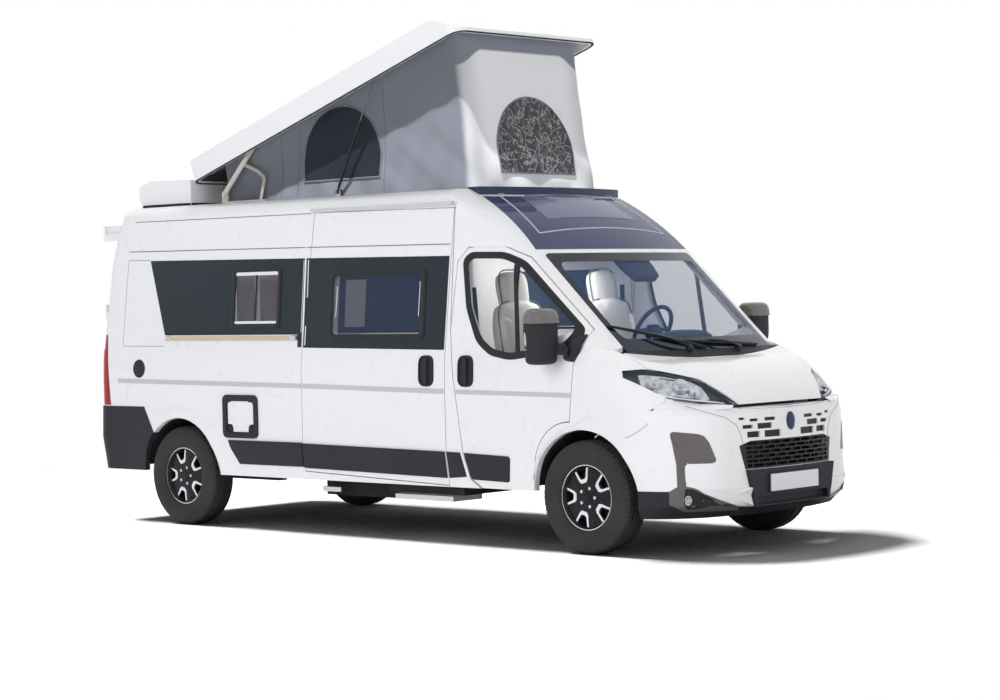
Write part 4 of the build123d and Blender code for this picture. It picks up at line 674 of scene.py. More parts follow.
for side, tag in SIDES:
    rear_frame = ring(box_outline(-1386, -845, 1490, 1932, 26), box_outline(-1344, -887, 1522, 1900, 16),
                      FRAME_ROWS, on_side(side))
    door_frame = ring(box_outline(-330, 632, 1400, 1894, 50), box_outline(-286, 588, 1440, 1852, 34),
                      FRAME_ROWS, on_side(side))
    bar = plate(box_outline(-1128, -1108, 1545, 1880, 6), flat_edge(3.5), on_side(side))
    make_piece(f"window_frames_{tag}", [rear_frame, door_frame, bar], SATIN, "van")
    rails = [plate(box_outline(-1352, -880, z0, z1, 8), flat_edge(2.5, -20), on_side(side))
             for z0, z1 in ((1876, 1906), (1514, 1540))]
    make_piece(f"blind_rails_{tag}", rails, PLATE_WHITE, "van")
    cloths = [pleats(x0, x1, 1540, 1878, 14, side, 16, 9) for x0, x1 in ((-1352, -1150), (-1096, -880))]
    make_piece(f"pleated_blinds_{tag}", cloths, BLIND_CLOTH, "van")
    shade = plate(box_outline(-186, 18, 1490, 1824, 6), flat_edge(-18, -22, 1), on_side(side))
    make_piece(f"half_blind_{tag}", [shade], INNER_LIGHT, "van")
    # The navy sheet is painted shade: it stands in for the dark inside seen through the tinted pane
    inside_shade_sheet = plate(box_outline(-262, 596, 1448, 1866, 6), flat_edge(-26, -30, 1), on_side(side))
    make_piece(f"night_shade_{tag}", [inside_shade_sheet], INSIDE_SHADE_SHEET, "van")
    stays = [strip(-258, 1560, -252, 1780, 7, 2.0, side), strip(566, 1560, 572, 1800, 6, 2.0, side)]
    make_piece(f"window_stays_{tag}", stays, CUT_ALU, "van")

# %% [markdown]
# ## Pieces laid on curved solids
#
# Some trims lie on the nose or on a cab door, whose skins bend both ways. A Shrinkwrap modifier finds that
# skin: a throw-away sheet looks along one direction and comes back with the points where it meets the solids.
# The place function then moves them outwards by the piece's own height, and a factor of -1 in Y gives the
# right side. A point whose ray meets nothing takes the depth of the nearest one that did.

# %% Laying flat coordinates on solids
def coordinates(mesh):
    """All points of a mesh as one array."""
    spots = np.empty(len(mesh.vertices) * 3)
    mesh.vertices.foreach_get("co", spots)
    return spots.reshape(-1, 3)


def evaluated(piece):
    """The piece with its modifiers applied."""
    return piece.evaluated_get(bpy.context.evaluated_depsgraph_get())


def joined_solids(names):
    """Throw-away object with the triangles of the named solids, as something to project onto."""
    points, triangles, start = [], [], 0
    for name in names:
        mesh = frame["nodes"][name].data
        corners = np.empty(len(mesh.loops), int)
        mesh.loops.foreach_get("vertex_index", corners)
        points.append(coordinates(mesh))
        triangles.append(corners.reshape(-1, 3) + start)
        start += len(mesh.vertices)
    mesh = bpy.data.meshes.new("projection_target")
    mesh.from_pydata(np.concatenate(points).tolist(), [], np.concatenate(triangles).tolist())
    return new_object("projection_target", mesh)


START_OUT, MISSED_OUT = 6000.0, 5000


def facing(heading, tilt=0.0):
    """Three directions of a plane that faces a heading, in degrees from ahead to the left, tilted up."""
    turn, lean = math.radians(heading), math.radians(tilt)
    over = np.array([-math.sin(turn), math.cos(turn), 0.0])
    out = np.array([math.cos(turn) * math.cos(lean), math.sin(turn) * math.cos(lean), math.sin(lean)])
    return np.stack([over, np.cross(out, over), out], 1)


def seen_flat(points, axes):
    """Flat coordinates of points in space, as the facing plane sees them."""
    return (np.asarray(points, float) @ axes)[:, :2]


def lay_on(target, axes, side=LEFT):
    """Place function: flat coordinates of the facing plane, moved onto the target; height goes outwards."""
    def place(a, b, h):
        a, b, h = spread(a, b, h)
        flat = np.stack([a.ravel(), b.ravel(), np.full(a.size, START_OUT)], -1) * MM
        mesh = bpy.data.meshes.new("probe")
        mesh.vertices.add(len(flat))
        mesh.vertices.foreach_set("co", flat.ravel())
        probe = new_object("probe", mesh)
        probe.matrix_world = Matrix(axes.tolist()).to_4x4()
        wrap = probe.modifiers.new("project", "SHRINKWRAP")
        wrap.wrap_method, wrap.target = "PROJECT", target
        wrap.use_project_z, wrap.use_negative_direction, wrap.use_positive_direction = True, True, False
        bpy.context.view_layer.update()
        spots = coordinates(evaluated(probe).data) / MM
        bpy.data.objects.remove(probe)
        missed, found = np.flatnonzero(spots[:, 2] > MISSED_OUT), np.flatnonzero(spots[:, 2] <= MISSED_OUT)
        apart = ((spots[missed, None, :2] - spots[None, found, :2]) ** 2).sum(-1)
        spots[missed, 2] = spots[found[apart.argmin(1)], 2]
        spots[:, 2] += h.ravel()
        return (spots @ axes.T * (1, side, 1)).reshape(*a.shape, 3)
    return place


# %% [markdown]
# ## Handles, filler cap, hatch locks and rails
#
# The outer door handles are black bowls with an upright grip. Seen from the side each is a rounded outline,
# so a ring makes the raised rim, a plate the sunk bowl and a second plate the grip bar.

# %% Door handles and small side parts
def handle(x, z, side):
    """Rim, bowl and grip of one handle centred at x, z on the side."""
    place = on_side(side)
    rim = ring(box_outline(x - 72, x + 72, z - 107, z + 107, 58),
               box_outline(x - 54, x + 54, z - 88, z + 88, 44),
               [(0, 1), (0.3, 9), (0.75, 11), (1, 4), (1, -0.6), (0, -0.6)], place)
    bowl = plate(box_outline(x - 55, x + 55, z - 89, z + 89, 44), flat_edge(1.4, -0.5), place)
    grip = plate(box_outline(x - 20, x + 20, z - 92, z + 92, 18),
                 soft_edge(20, 18, 10, 0.5, 6), place)
    return [rim, bowl, grip]


HANDLE_Z = 1186
make_piece("handle_slide_door", handle(657, HANDLE_Z, RIGHT), TRIM_BLACK, "van")
for side, tag in SIDES:
    make_piece(f"handle_door_{tag}", handle(1030, HANDLE_Z, side), TRIM_BLACK, f"door_{tag}")


def disc_on_side(x, z, side, profile, sides=40):
    """Turned piece on the side skin: profile rows are (radius, height outwards)."""
    return turned(profile, lambda a, b, h: on_side(side)(x + a, z + b, h), sides)


FUEL_CAP = [(0, 3), (52, 3), (56, 1.5), (59, 3), (68, 3), (71, 1), (71, -1), (0, -1)]
make_piece("fuel_cap", [disc_on_side(-2441, 1185, RIGHT, FUEL_CAP)], TRIM_BLACK, "van")
LOCK = [(0, 5), (12, 5), (14, 4), (15, 0.4), (22, 0.4), (24, 2.5), (27, 2), (28, -1), (0, -1)]
locks = [disc_on_side(x, 752, RIGHT, LOCK, 24) for x in (-1382, -1154)]
make_piece("hatch_locks", locks, TRIM_BLACK, "hatch")
CORNERS = ([(-1413, 721), (-1352, 721), (-1352, 748), (-1366, 778), (-1413, 782)],
           [(-1123, 721), (-1123, 782), (-1170, 778), (-1184, 748), (-1184, 721)])
corners = [plate(rounded(corner, 8), flat_edge(1.5), on_side(RIGHT)) for corner in CORNERS]
make_piece("hatch_corners", corners, TRIM_BLACK, "hatch")
hatch_seal = ring(box_outline(-1419, -1117, 715, 951, 32), box_outline(-1411, -1125, 723, 943, 24),
                  [(0, 0.6), (0.5, 2.5), (1, 0.6), (1, -2), (0, -2)], on_side(RIGHT))
make_piece("hatch_seal", [hatch_seal], RUBBER, "van")

rail_face = plate(box_outline(-2060, -705, 1402, 1430, 4), flat_edge(28.5, 20), on_side(RIGHT))
make_piece("rail_decor", [rail_face], WOOD_TRIM, "van")
rail_ends = [plate(box_outline(x0, x1, 1400, 1436, 7), soft_edge(34, 31, 24, 2), on_side(RIGHT))
             for x0, x1 in ((-2112, -2078), (-690, -650))]
make_piece("rail_ends", rail_ends, ALU, "van")
rail_screws = [disc_on_side(x, z, RIGHT, [(0, 36), (5, 36), (6, 34), (0, 33)], 12)
               for x in (-2095, -670) for z in (1409, 1427)]
make_piece("rail_screws", rail_screws, CUT_ALU, "van")
print("small side parts made")

# %% [markdown]
# ## Cab doors
#
# A black rubber channel runs round each cab door's glass, and an upright bar parts off the fixed quarter
# light. The door tapers towards the nose, so these trims are laid on its own skin, not on the straight side.

# %% Glass channels, swage bands in painted shade, and mouldings on the doors
door_skin = joined_solids(["cab_door_left", "cab_glass_left"])


def on_door(side):
    """Place function for a cab door: x along the van, z up, height outwards from the door and its glass."""
    lay = lay_on(door_skin, facing(90.0), side)
    return lambda x, z, h: lay(-np.asarray(x, float), z, h)


CAB_EDGE = [(2016, 1452), (1496, 1922), (1352, 1982), (1036, 1990), (968, 1938), (1016, 1608), (1118, 1382),
            (1246, 1292), (1428, 1260), (2010, 1330)]
CAB_SIGHT = [(1960, 1468), (1474, 1886), (1340, 1936), (1062, 1944), (1018, 1912), (1062, 1620), (1158, 1416),
             (1268, 1336), (1426, 1308), (1900, 1372)]
CHANNEL_ROWS = [(0, -3), (0.05, 3), (0.5, 4.5), (0.95, 3.5), (1, 0.5), (1, -2), (0.4, -4)]
DOOR_MOULDING = [(1004, 634), (1408, 622), (1420, 606), (1394, 456), (1380, 446), (1058, 454), (1040, 470)]
PILLAR_MOULDING = [(842, 638), (966, 635), (1002, 470), (846, 457)]
for side, tag in SIDES:
    body = f"door_{tag}"
    door = on_door(side)
    channel = ring(densify(rounded(CAB_EDGE, 50), 40), densify(rounded(CAB_SIGHT, 50), 40), CHANNEL_ROWS,
                   door, centre=(1400, 1640))
    divider = plate(densify([(1432, 1935), (1462, 1935), (1520, 1300), (1484, 1300)], 60), flat_edge(3.8, -4),
                    door, centre=(1475, 1620))
    make_piece(f"glass_channel_{tag}", [channel, divider], SATIN, body)
    moulding = plate(densify(DOOR_MOULDING, 50), soft_edge(11, 10, 4, -1, 4, 0.9), door)
    make_piece(f"door_moulding_{tag}", [moulding], TRIM_BLACK, body)
    pillar = plate(densify(PILLAR_MOULDING, 60), soft_edge(11, 10, 4, -30, 4, 0.9), on_side(side))
    make_piece(f"pillar_moulding_{tag}", [pillar], TRIM_BLACK, "van")
    # The door's swage band is grey as painted shade of the concave line
    band = strip(935, 1046, 1960, 1034, 30, 1.6, side, door)
    make_piece(f"swage_band_door_{tag}", [band], SWAGE_SHADE, body)

# %% [markdown]
# ## Mirrors
#
# A van's mirror head is a tall rounded box on a stubby arm: a grey upper cap, a black body with the indicator
# in its outer edge, and a smaller head for the wide-angle glass below. A superellipsoid is an ellipsoid whose
# sines and cosines are raised to a power below one, which squares it up while it stays smooth.

# %% Mirror heads, arms and feet
CAP_GREY = finish("mirror_cap_grey", (0.14, 0.125, 0.12), (0.10, 0.09, 0.088), (0.22, 0.32), coat=0.6,
                  patch=4, grain=60, bump=0.0)
INDICATOR = finish("indicator_lens", (0.62, 0.56, 0.50), (0.40, 0.30, 0.22), (0.1, 0.16), patch=40,
                   grain=300, bump=0.1)
for side, tag in SIDES:
    body = f"door_{tag}"
    head = egg((1829, side * 1147, 1448), (84, 101, 146), (0.45, 0.5))
    lower = egg((1826, side * 1147, 1296), (80, 96, 60), (0.5, 0.5), rings=16)
    knob = egg((1905, side * 1062, 1345), (52, 40, 30), (0.6, 0.6), rings=12, sides=24)
    elbow = [(1858.0, side * 1100, 1330), (1910, side * 1058, 1325), (1960, side * 1030, 1318)]
    arm = tube(np.array(elbow), (34, 32, 40), 20, flat=0.8)
    foot = plate(rounded([(1898, 1262), (2004, 1246), (2040, 1322), (2034, 1440), (1968, 1404)], 34),
                 [(0, 0, 30), (0.55, 0, 28), (0.9, 0, 18), (1, 4, 10), (1, 0, 0), (0, 0, 0)], on_door(side))
    mirror = make_piece(f"mirror_body_{tag}", [head, lower, knob, arm, foot], TRIM_BLACK, body,
                        smooth=50)
    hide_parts(f"mirror_{tag}")
    cap = egg((1829, side * 1147, 1450), (92, 109, 153), (0.45, 0.5), low=6, high=90, rings=14)
    make_piece(f"mirror_cap_{tag}", [cap], CAP_GREY, body, smooth=50)
    lens = egg((1786, side * 1206, 1405), (32, 40, 58), (0.5, 0.5), rings=12, sides=24)
    make_piece(f"mirror_indicator_{tag}", [lens], INDICATOR, body, smooth=50)
    glass_face = lambda a, b, h, side=side: np.stack([1745 - h, side * 1147 + a, b], -1)
    glass = plate(box_outline(-80, 80, 1340, 1560, 30), flat_edge(1.5), glass_face)
    make_piece(f"mirror_glass_{tag}", [glass], CHROME, body)
print("mirrors made")

# %% [markdown]
# ## Windscreen
#
# The screen is one slanted sheet bent round an upright axis: x = (side edge + 116 mm) minus the sagitta of a
# circle through the middle and both edges. The black ceramic border and the sensor pod follow it.

# %% The screen surface and its border
SCREEN_R = 790 ** 2 / (2 * 116) + 58


def on_screen(y, z, out):
    """Point of the windscreen at half width y and height z, moved outwards along its slant."""
    y, z, out = spread(y, z, out)
    x = 1634 + 1.069 * (1974 - z) - (SCREEN_R - np.sqrt(SCREEN_R ** 2 - y ** 2))
    return np.stack([x + 0.683 * out, y * (1 + 0.68 * out / SCREEN_R), z + 0.730 * out], -1)


border = ring(densify([(-772, 1306), (772, 1306), (772, 1950), (740, 1966), (-740, 1966), (-772, 1950)], 60),
              densify(box_outline(-722, 722, 1384, 1908, 70), 60), [(0, 0.7), (1, 0.7), (1, -0.6), (0, -0.6)],
              on_screen, centre=(0, 1640))
make_piece("screen_border", [border], GLOSS, "van")
POD = [(-150, 1962), (150, 1962), (150, 1880), (118, 1806), (-118, 1806), (-150, 1880)]
pod = plate(densify(rounded(POD, 14), 60), [(0, 0, -9), (0.9, 0, -9), (1, 0, -12), (1, 0, -60), (0, 0, -60)],
            on_screen)
make_piece("sensor_pod", [pod], DASH, "van")

# %% [markdown]
# ## Wheels
#
# The alloy is black with five machined U shapes, open towards the rim, and a thin bright ring round its edge.
# One sector of the disc is a band between the sector's edge and the window inside its U. Five turned copies
# make the disc. The U itself is a ribbon between an outer and an inner line, a few millimetres proud.

# %% Rims
FRONT_AXLE, REAR_AXLE, HUB_Z = 2051, -1984, 372
WHEELS = {"front_right": (FRONT_AXLE, -905, "wheel_fr"), "front_left": (FRONT_AXLE, 905, "wheel_fl"),
          "rear_right": (REAR_AXLE, -895, "wheel_rr"), "rear_left": (REAR_AXLE, 895, "wheel_rl")}


def on_wheel(axle_x, wheel_y, angle=0.0):
    """Place function of a wheel: two coordinates in its disc, turned by the angle, and height outwards."""
    side = -1 if wheel_y < 0 else 1
    c, s = math.cos(angle), math.sin(angle)
    return lambda a, b, h: np.stack([axle_x + c * a - s * b, wheel_y + side * h, HUB_Z + s * a + c * b], -1)


def ribbon(outer, inner, low, high, place):
    """Closed strip between two open lines of as many points; its cross-section is a rectangle."""
    outer, inner = np.asarray(outer, float), np.asarray(inner, float)
    flat = np.stack([outer, outer, inner, inner], 1)
    height = np.broadcast_to(np.array([low, high, high, low], float), flat.shape[:2])
    points = place(flat[..., 0], flat[..., 1], height)
    ends = [np.broadcast_to(points[k].mean(0), (1, 4, 3)) for k in (0, -1)]
    return np.concatenate([ends[0], points, ends[1]]), grid_faces(len(outer) + 2, 4)


def dish(place):
    """The same place with the disc dished: height falls by 9 mm times the squared share of 200 mm."""
    return lambda a, b, h: place(a, b, h - 9.0 * (a ** 2 + b ** 2) / 200.0 ** 2)


U_OUTER = [(205, 66), (150, 47), (114, 36), (97, 21), (97, -21), (114, -36), (150, -47), (205, -66)]
U_INNER = [(205, 52), (154, 33), (130, 24), (122, 12), (122, -12), (130, -24), (154, -33), (205, -52)]
edge_turn = np.radians(np.linspace(-36, 36, 19))
inner_turn = edge_turn[::-1]
sector = np.concatenate([np.stack([201 * np.cos(edge_turn), 201 * np.sin(edge_turn)], -1),
                         np.stack([30 * np.cos(inner_turn), 30 * np.sin(inner_turn)], -1)])
window = rounded([(194, 46), (154, 29), (133, 18), (133, -18), (154, -29), (194, -46)], 6, 4)
sector_rows = [(0, 66), (0.12, 70), (0.9, 70), (1, 70), (1, 34), (0, 34)]
BOLT = [(0, 66), (6, 66), (8, 70), (11, 70), (13, 66), (13, 58), (0, 58)]
BARREL = [(204, 82), (216, 84), (216, 74), (202, 62), (190, 40), (186, 0), (190, -60), (216, -72), (216, -89),
          (206, -89), (180, -60), (178, 0), (180, 40), (192, 60), (198, 76)]
for tag, (axle_x, wheel_y, body) in WHEELS.items():
    discs, shapes, hardware = [], [], []
    for k in range(5):
        place = dish(on_wheel(axle_x, wheel_y, math.radians(36 + 72 * k)))
        discs.append(ring(densify(sector, 14), densify(window, 14), sector_rows, place, centre=(150, 0)))
        shapes.append(ribbon(U_OUTER, U_INNER, 69, 72.5, place))
        bolt = on_wheel(axle_x, wheel_y, math.radians(72 * k))
        hardware.append(turned(BOLT, lambda a, b, h, bolt=bolt: bolt(a + 62, b, h + 6), 6))
    place = on_wheel(axle_x, wheel_y)
    barrel = turned(BARREL, place, 96)
    barrel = (np.concatenate([barrel[0], barrel[0][:1]]), grid_faces(16, 96))
    # The dark disc behind the spokes is painted shade inside the wheel
    backing = turned([(0, 12), (176, 12), (178, 8), (0, 6)], place, 64)
    cap = turned([(0, 74), (20, 74), (27, 72), (30, 66), (30, 50), (0, 50)], place, 40)
    rim = make_piece(f"alloy_{tag}", [*discs, barrel, cap], ALLOY_BLACK, body, smooth=30)
    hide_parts(f"rim_{tag}")
    make_piece(f"wheel_shade_{tag}", [backing], CHASSIS, body)
    lip = turned([(206, 79), (208, 84), (213, 84), (214, 80), (206, 79)], place, 96)
    make_piece(f"alloy_bright_{tag}", [*shapes, lip], CUT_ALU, body, smooth=30)
    make_piece(f"wheel_bolts_{tag}", hardware, CUT_ALU, body)

# %% [markdown]
# ## Tyres
#
# A tyre is its cross-section spun once, with the tread cut in. The cut is the deeper of grooves that run
# round the tyre and slots that repeat round its girth, so that blocks remain. The sidewall has fine rings.

# %% Tyres
GIRTH_COLUMNS, TREAD_BLOCKS, TREAD_DEPTH = 540, 60, 8.0


def tyre_grid(place):
    """Tyre surface: section points (radius, offset), less the tread's depth where a groove or slot runs."""
    section = np.array([(216.5, -87), (224, -100), (244, -108), (270, -112), (296, -112.5), (322, -110),
                        (340, -103), (352, -96), (360, -90), (365, -84), (368, -76), (369.5, -68),
                        (370.5, -60), (371, -54), (371, -50), (371.4, -44), (371.6, -34), (371.8, -30),
                        (371.8, -26), (372, -20), (372, -10), (372, -4), (372, 0)], float)
    section = np.concatenate([section, section[-2::-1] * (1, -1), [(214, 80), (214, -80)]])
    radius, offset = section.T
    turn = np.linspace(0, 2 * np.pi, GIRTH_COLUMNS, endpoint=False)
    on_tread = np.clip((radius - 345) / 16, 0, 1)[:, None]
    groove = (np.abs(np.abs(offset) - 30) < 4.5) | (np.abs(np.abs(offset) - 57) < 3.5)
    shift = np.sign(offset)[:, None] * 0.25
    phase = (turn[None] * TREAD_BLOCKS / (2 * np.pi) + shift + offset[:, None] * 0.004) % 1.0
    slot_cut = np.clip(1.6 - np.abs(phase - 0.5) * 16, 0, 1) * (np.abs(offset) > 4)[:, None]
    cut = np.maximum(groove[:, None] * 1.0, slot_cut * 0.85)
    ribs = 1.6 * (np.sin(radius * 0.55) > 0.6) * ((radius > 235) & (radius < 335))
    spun = radius[:, None] - (TREAD_DEPTH * cut * on_tread - ribs[:, None])
    return (place(spun * np.cos(turn), spun * np.sin(turn), np.broadcast_to(offset[:, None], spun.shape)),
            grid_faces(len(radius), GIRTH_COLUMNS, wrap_rows=True))


for tag, (axle_x, wheel_y, body) in WHEELS.items():
    tyre = make_piece(f"tread_{tag}", [tyre_grid(on_wheel(axle_x, wheel_y))], TYRE_RUBBER, body,
                      smooth=40)
    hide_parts(f"tyre_{tag}")
print("triangles of one tyre:", 2 * len(tyre.data.polygons))

# %% [markdown]
# ## The tent
#
# The tent is a strip of cloth that runs round the roof opening and hangs from the tilted roof shell, so its
# upper edge climbs towards the front. A point of the cloth is given by its place on the base outline and its
# share of the height. The front wall leans back, the foot flares a little, and soft folds fade upwards.

# %% Cloth walls
ROOF_ANGLE = math.radians(17.93)
TILT = math.tan(ROOF_ANGLE)
HINGE_X, HINGE_Z = -2101, 2598
CLOTH_WELD, HEM = 0.0001, 1.02
BASE_Z = 2440.0
TENT_REAR, TENT_FRONT, TENT_HALF = -1862, 812, 640
LEAN_BACK = 157


def tent_top(x):
    """Height of the cloth's upper edge, just inside the tilted shell."""
    return HINGE_Z + (x - HINGE_X) * TILT + 34


def cloth_push(x, y, z, share):
    """How far the cloth stands out: a belly of 13 mm inwards, and folds of two wavelengths fading upwards."""
    belly = -13 * np.sin(np.pi * np.clip(share, 0, 1))
    fade = 1 - share
    long_fold = 5.0 * np.sin(x / 97 + z / 61 + y / 83) * fade ** 1.5
    short_fold = 3.0 * np.sin(x / 41 - z / 87 + y / 53) * fade
    wrinkle = 0.9 * np.sin(x / 37 + y / 61 + z / 49 + 2 * np.sin(z / 120 + y / 190))
    return belly + (long_fold + short_fold) + wrinkle


def tent_point(x0, y0, nx, ny, share, out=0.0):
    """Cloth point over the base point (x0, y0) whose outline normal is (nx, ny), at a share of the height."""
    x = TENT_REAR + (x0 - TENT_REAR) * (1 - share * LEAN_BACK / (TENT_FRONT - TENT_REAR))
    z = BASE_Z + share * (tent_top(x) - BASE_Z)
    flare = 1 + 0.040 * (1 - share) ** 2 * np.clip((x0 + 1250) / 600, 0, 1)
    push = cloth_push(x0, y0, z, share) + out
    return np.stack([x + nx * push, y0 * flare + ny * push, z], -1)


def tent_cloth_with_painted_light():
    """Grey cloth whose front wall is pale, partly as painted light from the front. The pale part is where
    x + 0.14 z is beyond a limit and z is below a line that falls by 0.12 m towards both corners, with blurred
    edges: above the line the front stays grey as painted shade under the shell, and towards both corners it
    darkens as painted shade."""
    material = finish("two_tone_tent_cloth", (0.225, 0.24, 0.285), (0.19, 0.20, 0.245), (0.75, 0.9),
                      sheen=0.25, patch=1.6, grain=420, bump=0.25, pattern="weave")
    tree = material.node_tree
    shader = tree.nodes["Principled BSDF"]
    grey = shader.inputs["Base Color"].links[0].from_socket

    def worked_out(operation, first, second):
        """Output of a Math node whose inputs are numbers or other outputs."""
        node = add_node(tree, "Math", operation=operation)
        for socket, value in zip(node.inputs, (first, second)):
            if isinstance(value, float):
                socket.default_value = value
            else:
                tree.links.new(value, socket)
        return node.outputs[0]

    def edge(value, low, high):
        """Output that rises smoothly from 0 where the value is low to 1 where it is high."""
        node = add_node(tree, "MapRange", {"From Min": low, "From Max": high},
                        interpolation_type="SMOOTHSTEP")
        tree.links.new(value, node.inputs["Value"])
        return node.outputs[0]

    place, parts = add_node(tree, "TexCoord"), add_node(tree, "SeparateXYZ")
    tree.links.new(place.outputs["Object"], parts.inputs[0])
    x, y, z = [parts.outputs[axis] for axis in "XYZ"]
    reach = worked_out("ADD", x, worked_out("MULTIPLY", z, 0.14))
    bend = edge(worked_out("ABSOLUTE", y, 0.0), 0.40, 0.66)
    level = worked_out("ADD", z, worked_out("MULTIPLY", bend, 0.12))
    # Above the line the front wall stays grey: painted shade under the shell's rim
    panel = worked_out("MULTIPLY", edge(reach, 1.065, 1.125), edge(level, 3.425, 3.405))
    # Towards both corners the pale part darkens by up to 42 percent: painted shade where the cloth turns
    # aside
    panel = worked_out("MULTIPLY", panel, worked_out("ADD", worked_out("MULTIPLY", bend, -0.42), 1.0))
    # The pale front is partly painted light from the front
    tint = add_node(tree, "Mix", {"B": (0.80, 0.805, 0.82, 1)}, data_type="RGBA")
    link_nodes(tree, (panel, tint.inputs["Factor"]), (grey, tint.inputs["A"]),
               (tint.outputs["Result"], shader.inputs["Base Color"]))
    return material


TENT_CLOTH_AND_SHADE = tent_cloth_with_painted_light()
base_line = densify(box_outline(TENT_REAR, TENT_FRONT, -TENT_HALF, TENT_HALF, 95, 8), 22)
tangent = np.roll(base_line, -1, 0) - np.roll(base_line, 1, 0)
normal = np.stack([tangent[:, 1], -tangent[:, 0]], -1) / np.linalg.norm(tangent, axis=1)[:, None]
share = np.concatenate([np.linspace(0, 1, 44), np.linspace(1, 0, 44)])[:, None]
thin = np.repeat([0.0, -1.4], 44)[:, None]
cloth = tent_point(base_line[None, :, 0], base_line[None, :, 1], normal[None, :, 0],
                   normal[None, :, 1], share, thin)
tent = make_piece("tent_walls", [(cloth, grid_faces(88, len(base_line), wrap_rows=True))], TENT_CLOTH_AND_SHADE, "van",
                  smooth=60, weld=CLOTH_WELD)
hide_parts("tent")
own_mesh(tent)
heights = (tent_top(base_line[:, 0]) - BASE_Z) * MM

# %% [markdown]
# ## Tent windows and seams
#
# Each arched window is a dark film with a bound edge, and thin cords show the seams. All of them follow the
# same cloth function, a few millimetres out, so they belong to the wall. An arch is half an ellipse on a
# straight foot.

# %% Windows that follow the cloth
def on_tent_side(side):
    """Place on a side wall: x and z in space, and the distance out from the cloth."""
    def place(x, z, out):
        x, z, out = spread(x, z, out)
        share = (z - BASE_Z) / (tent_top(x) - BASE_Z)
        x0 = TENT_REAR + (x - TENT_REAR) / (1 - share * LEAN_BACK / (TENT_FRONT - TENT_REAR))
        return tent_point(x0, np.full_like(x, side * TENT_HALF), 0.0, side, share, out)
    return place


def on_tent_front(y, z, out):
    """Place on the front wall: y and z in space; the share of the height solves its quadratic equation."""
    y, z, out = spread(y, z, out)
    a, b = tent_top(TENT_FRONT) - BASE_Z, LEAN_BACK * TILT
    share = (a - np.sqrt(a * a - 4 * b * (z - BASE_Z))) / (2 * b)
    return tent_point(np.full_like(y, TENT_FRONT), y, 1.0, 0.0, share, out)


def arch(x0, x1, z0, z1, foot=0.28):
    """Arched outline: upright sides up to the foot's share of the height, and half an ellipse above."""
    turn = np.linspace(0, np.pi, 40)
    spring = z0 + foot * (z1 - z0)
    top = np.stack([(x0 + x1) / 2 + (x1 - x0) / 2 * np.cos(turn), spring + (z1 - spring) * np.sin(turn)], -1)
    return np.concatenate([[(x0, z0), (x1, z0)], top])


def crinkled_film():
    """Dark clear film whose crumples show as light lines: the distance to the nearest cell edge of a pattern
    that a noise has bent, turned into a mix of dark and light and into height."""
    material = finish("crinkled_clear_film", (0.016, 0.018, 0.022), (0.05, 0.052, 0.058), (0.10, 0.22),
                      patch=9, grain=16, gloss=0.4)
    tree = material.node_tree
    shader, place = tree.nodes["Principled BSDF"], add_node(tree, "TexCoord")
    bend = add_node(tree, "TexNoise", {"Scale": 7.0, "Detail": 5.0})
    shift = add_node(tree, "VectorMath", {1: (0.55, 0.55, 0.55)}, operation="MULTIPLY_ADD")
    cells = add_node(tree, "TexVoronoi", {"Scale": 9.0}, feature="DISTANCE_TO_EDGE")
    line = add_node(tree, "MapRange", {"From Max": 0.07, "To Min": 1.0, "To Max": 0.0})
    tint = add_node(tree, "Mix", {"A": (0.018, 0.020, 0.024, 1), "B": (0.34, 0.35, 0.37, 1)},
                    data_type="RGBA")
    relief = add_node(tree, "Bump", {"Strength": 0.9, "Distance": 0.02})
    link_nodes(tree, (place.outputs["Object"], bend.inputs["Vector"]),
               (bend.outputs["Color"], shift.inputs[0]), (place.outputs["Object"], shift.inputs[2]),
               (shift.outputs[0], cells.inputs["Vector"]), (cells.outputs["Distance"], line.inputs["Value"]),
               (line.outputs[0], tint.inputs["Factor"]),
               (tint.outputs["Result"], shader.inputs["Base Color"]),
               (cells.outputs["Distance"], relief.inputs["Height"]),
               (relief.outputs["Normal"], shader.inputs["Normal"]))
    return material


CRINKLED = crinkled_film()
PIPING = finish("tent_binding", (0.20, 0.21, 0.24), (0.15, 0.16, 0.18), (0.6, 0.75), patch=9, grain=500,
                bump=0.3, pattern="weave")
SIDE_ARCH = densify(arch(-925, -128, 2566, 3086), 30)
FRONT_ARCH = densify(arch(-352, 410, 2556, 3092, 0.3), 30)
for side, tag in SIDES:
    film = plate(SIDE_ARCH, film_rows(4, 1, 5), on_tent_side(side), centre=(-526, 2740))
    window = make_piece(f"tent_window_{tag}", [film], MESH_DARK, "van", weld=CLOTH_WELD)
    bound = ring(densify(arch(-941, -112, 2552, 3101), 30), SIDE_ARCH,
                 [(0, 2), (0.2, 6), (0.8, 6), (1, 2), (1, 0.5), (0, 0.5)], on_tent_side(side),
                 centre=(-526, 2740))
    edge = make_piece(f"tent_window_edge_{tag}", [bound], PIPING, "van", weld=CLOTH_WELD)
    seams = []
    for x_low, x_high in ((-1180, -1180), (-1010, -960), (-70, -95)):
        z = np.linspace(2452, 2460 + 0.93 * (tent_top(x_high) - 2460), 30)
        x = np.linspace(x_low, x_high, 30)
        seams.append(tube(on_tent_side(side)(x, z, np.full(30, 1.0)), 2.4, 6, side_hint=(1, 0, 0)))
    seam = make_piece(f"tent_seams_{tag}", seams, PIPING, "van", weld=CLOTH_WELD)
    for piece in (window, edge, seam):
        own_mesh(piece)

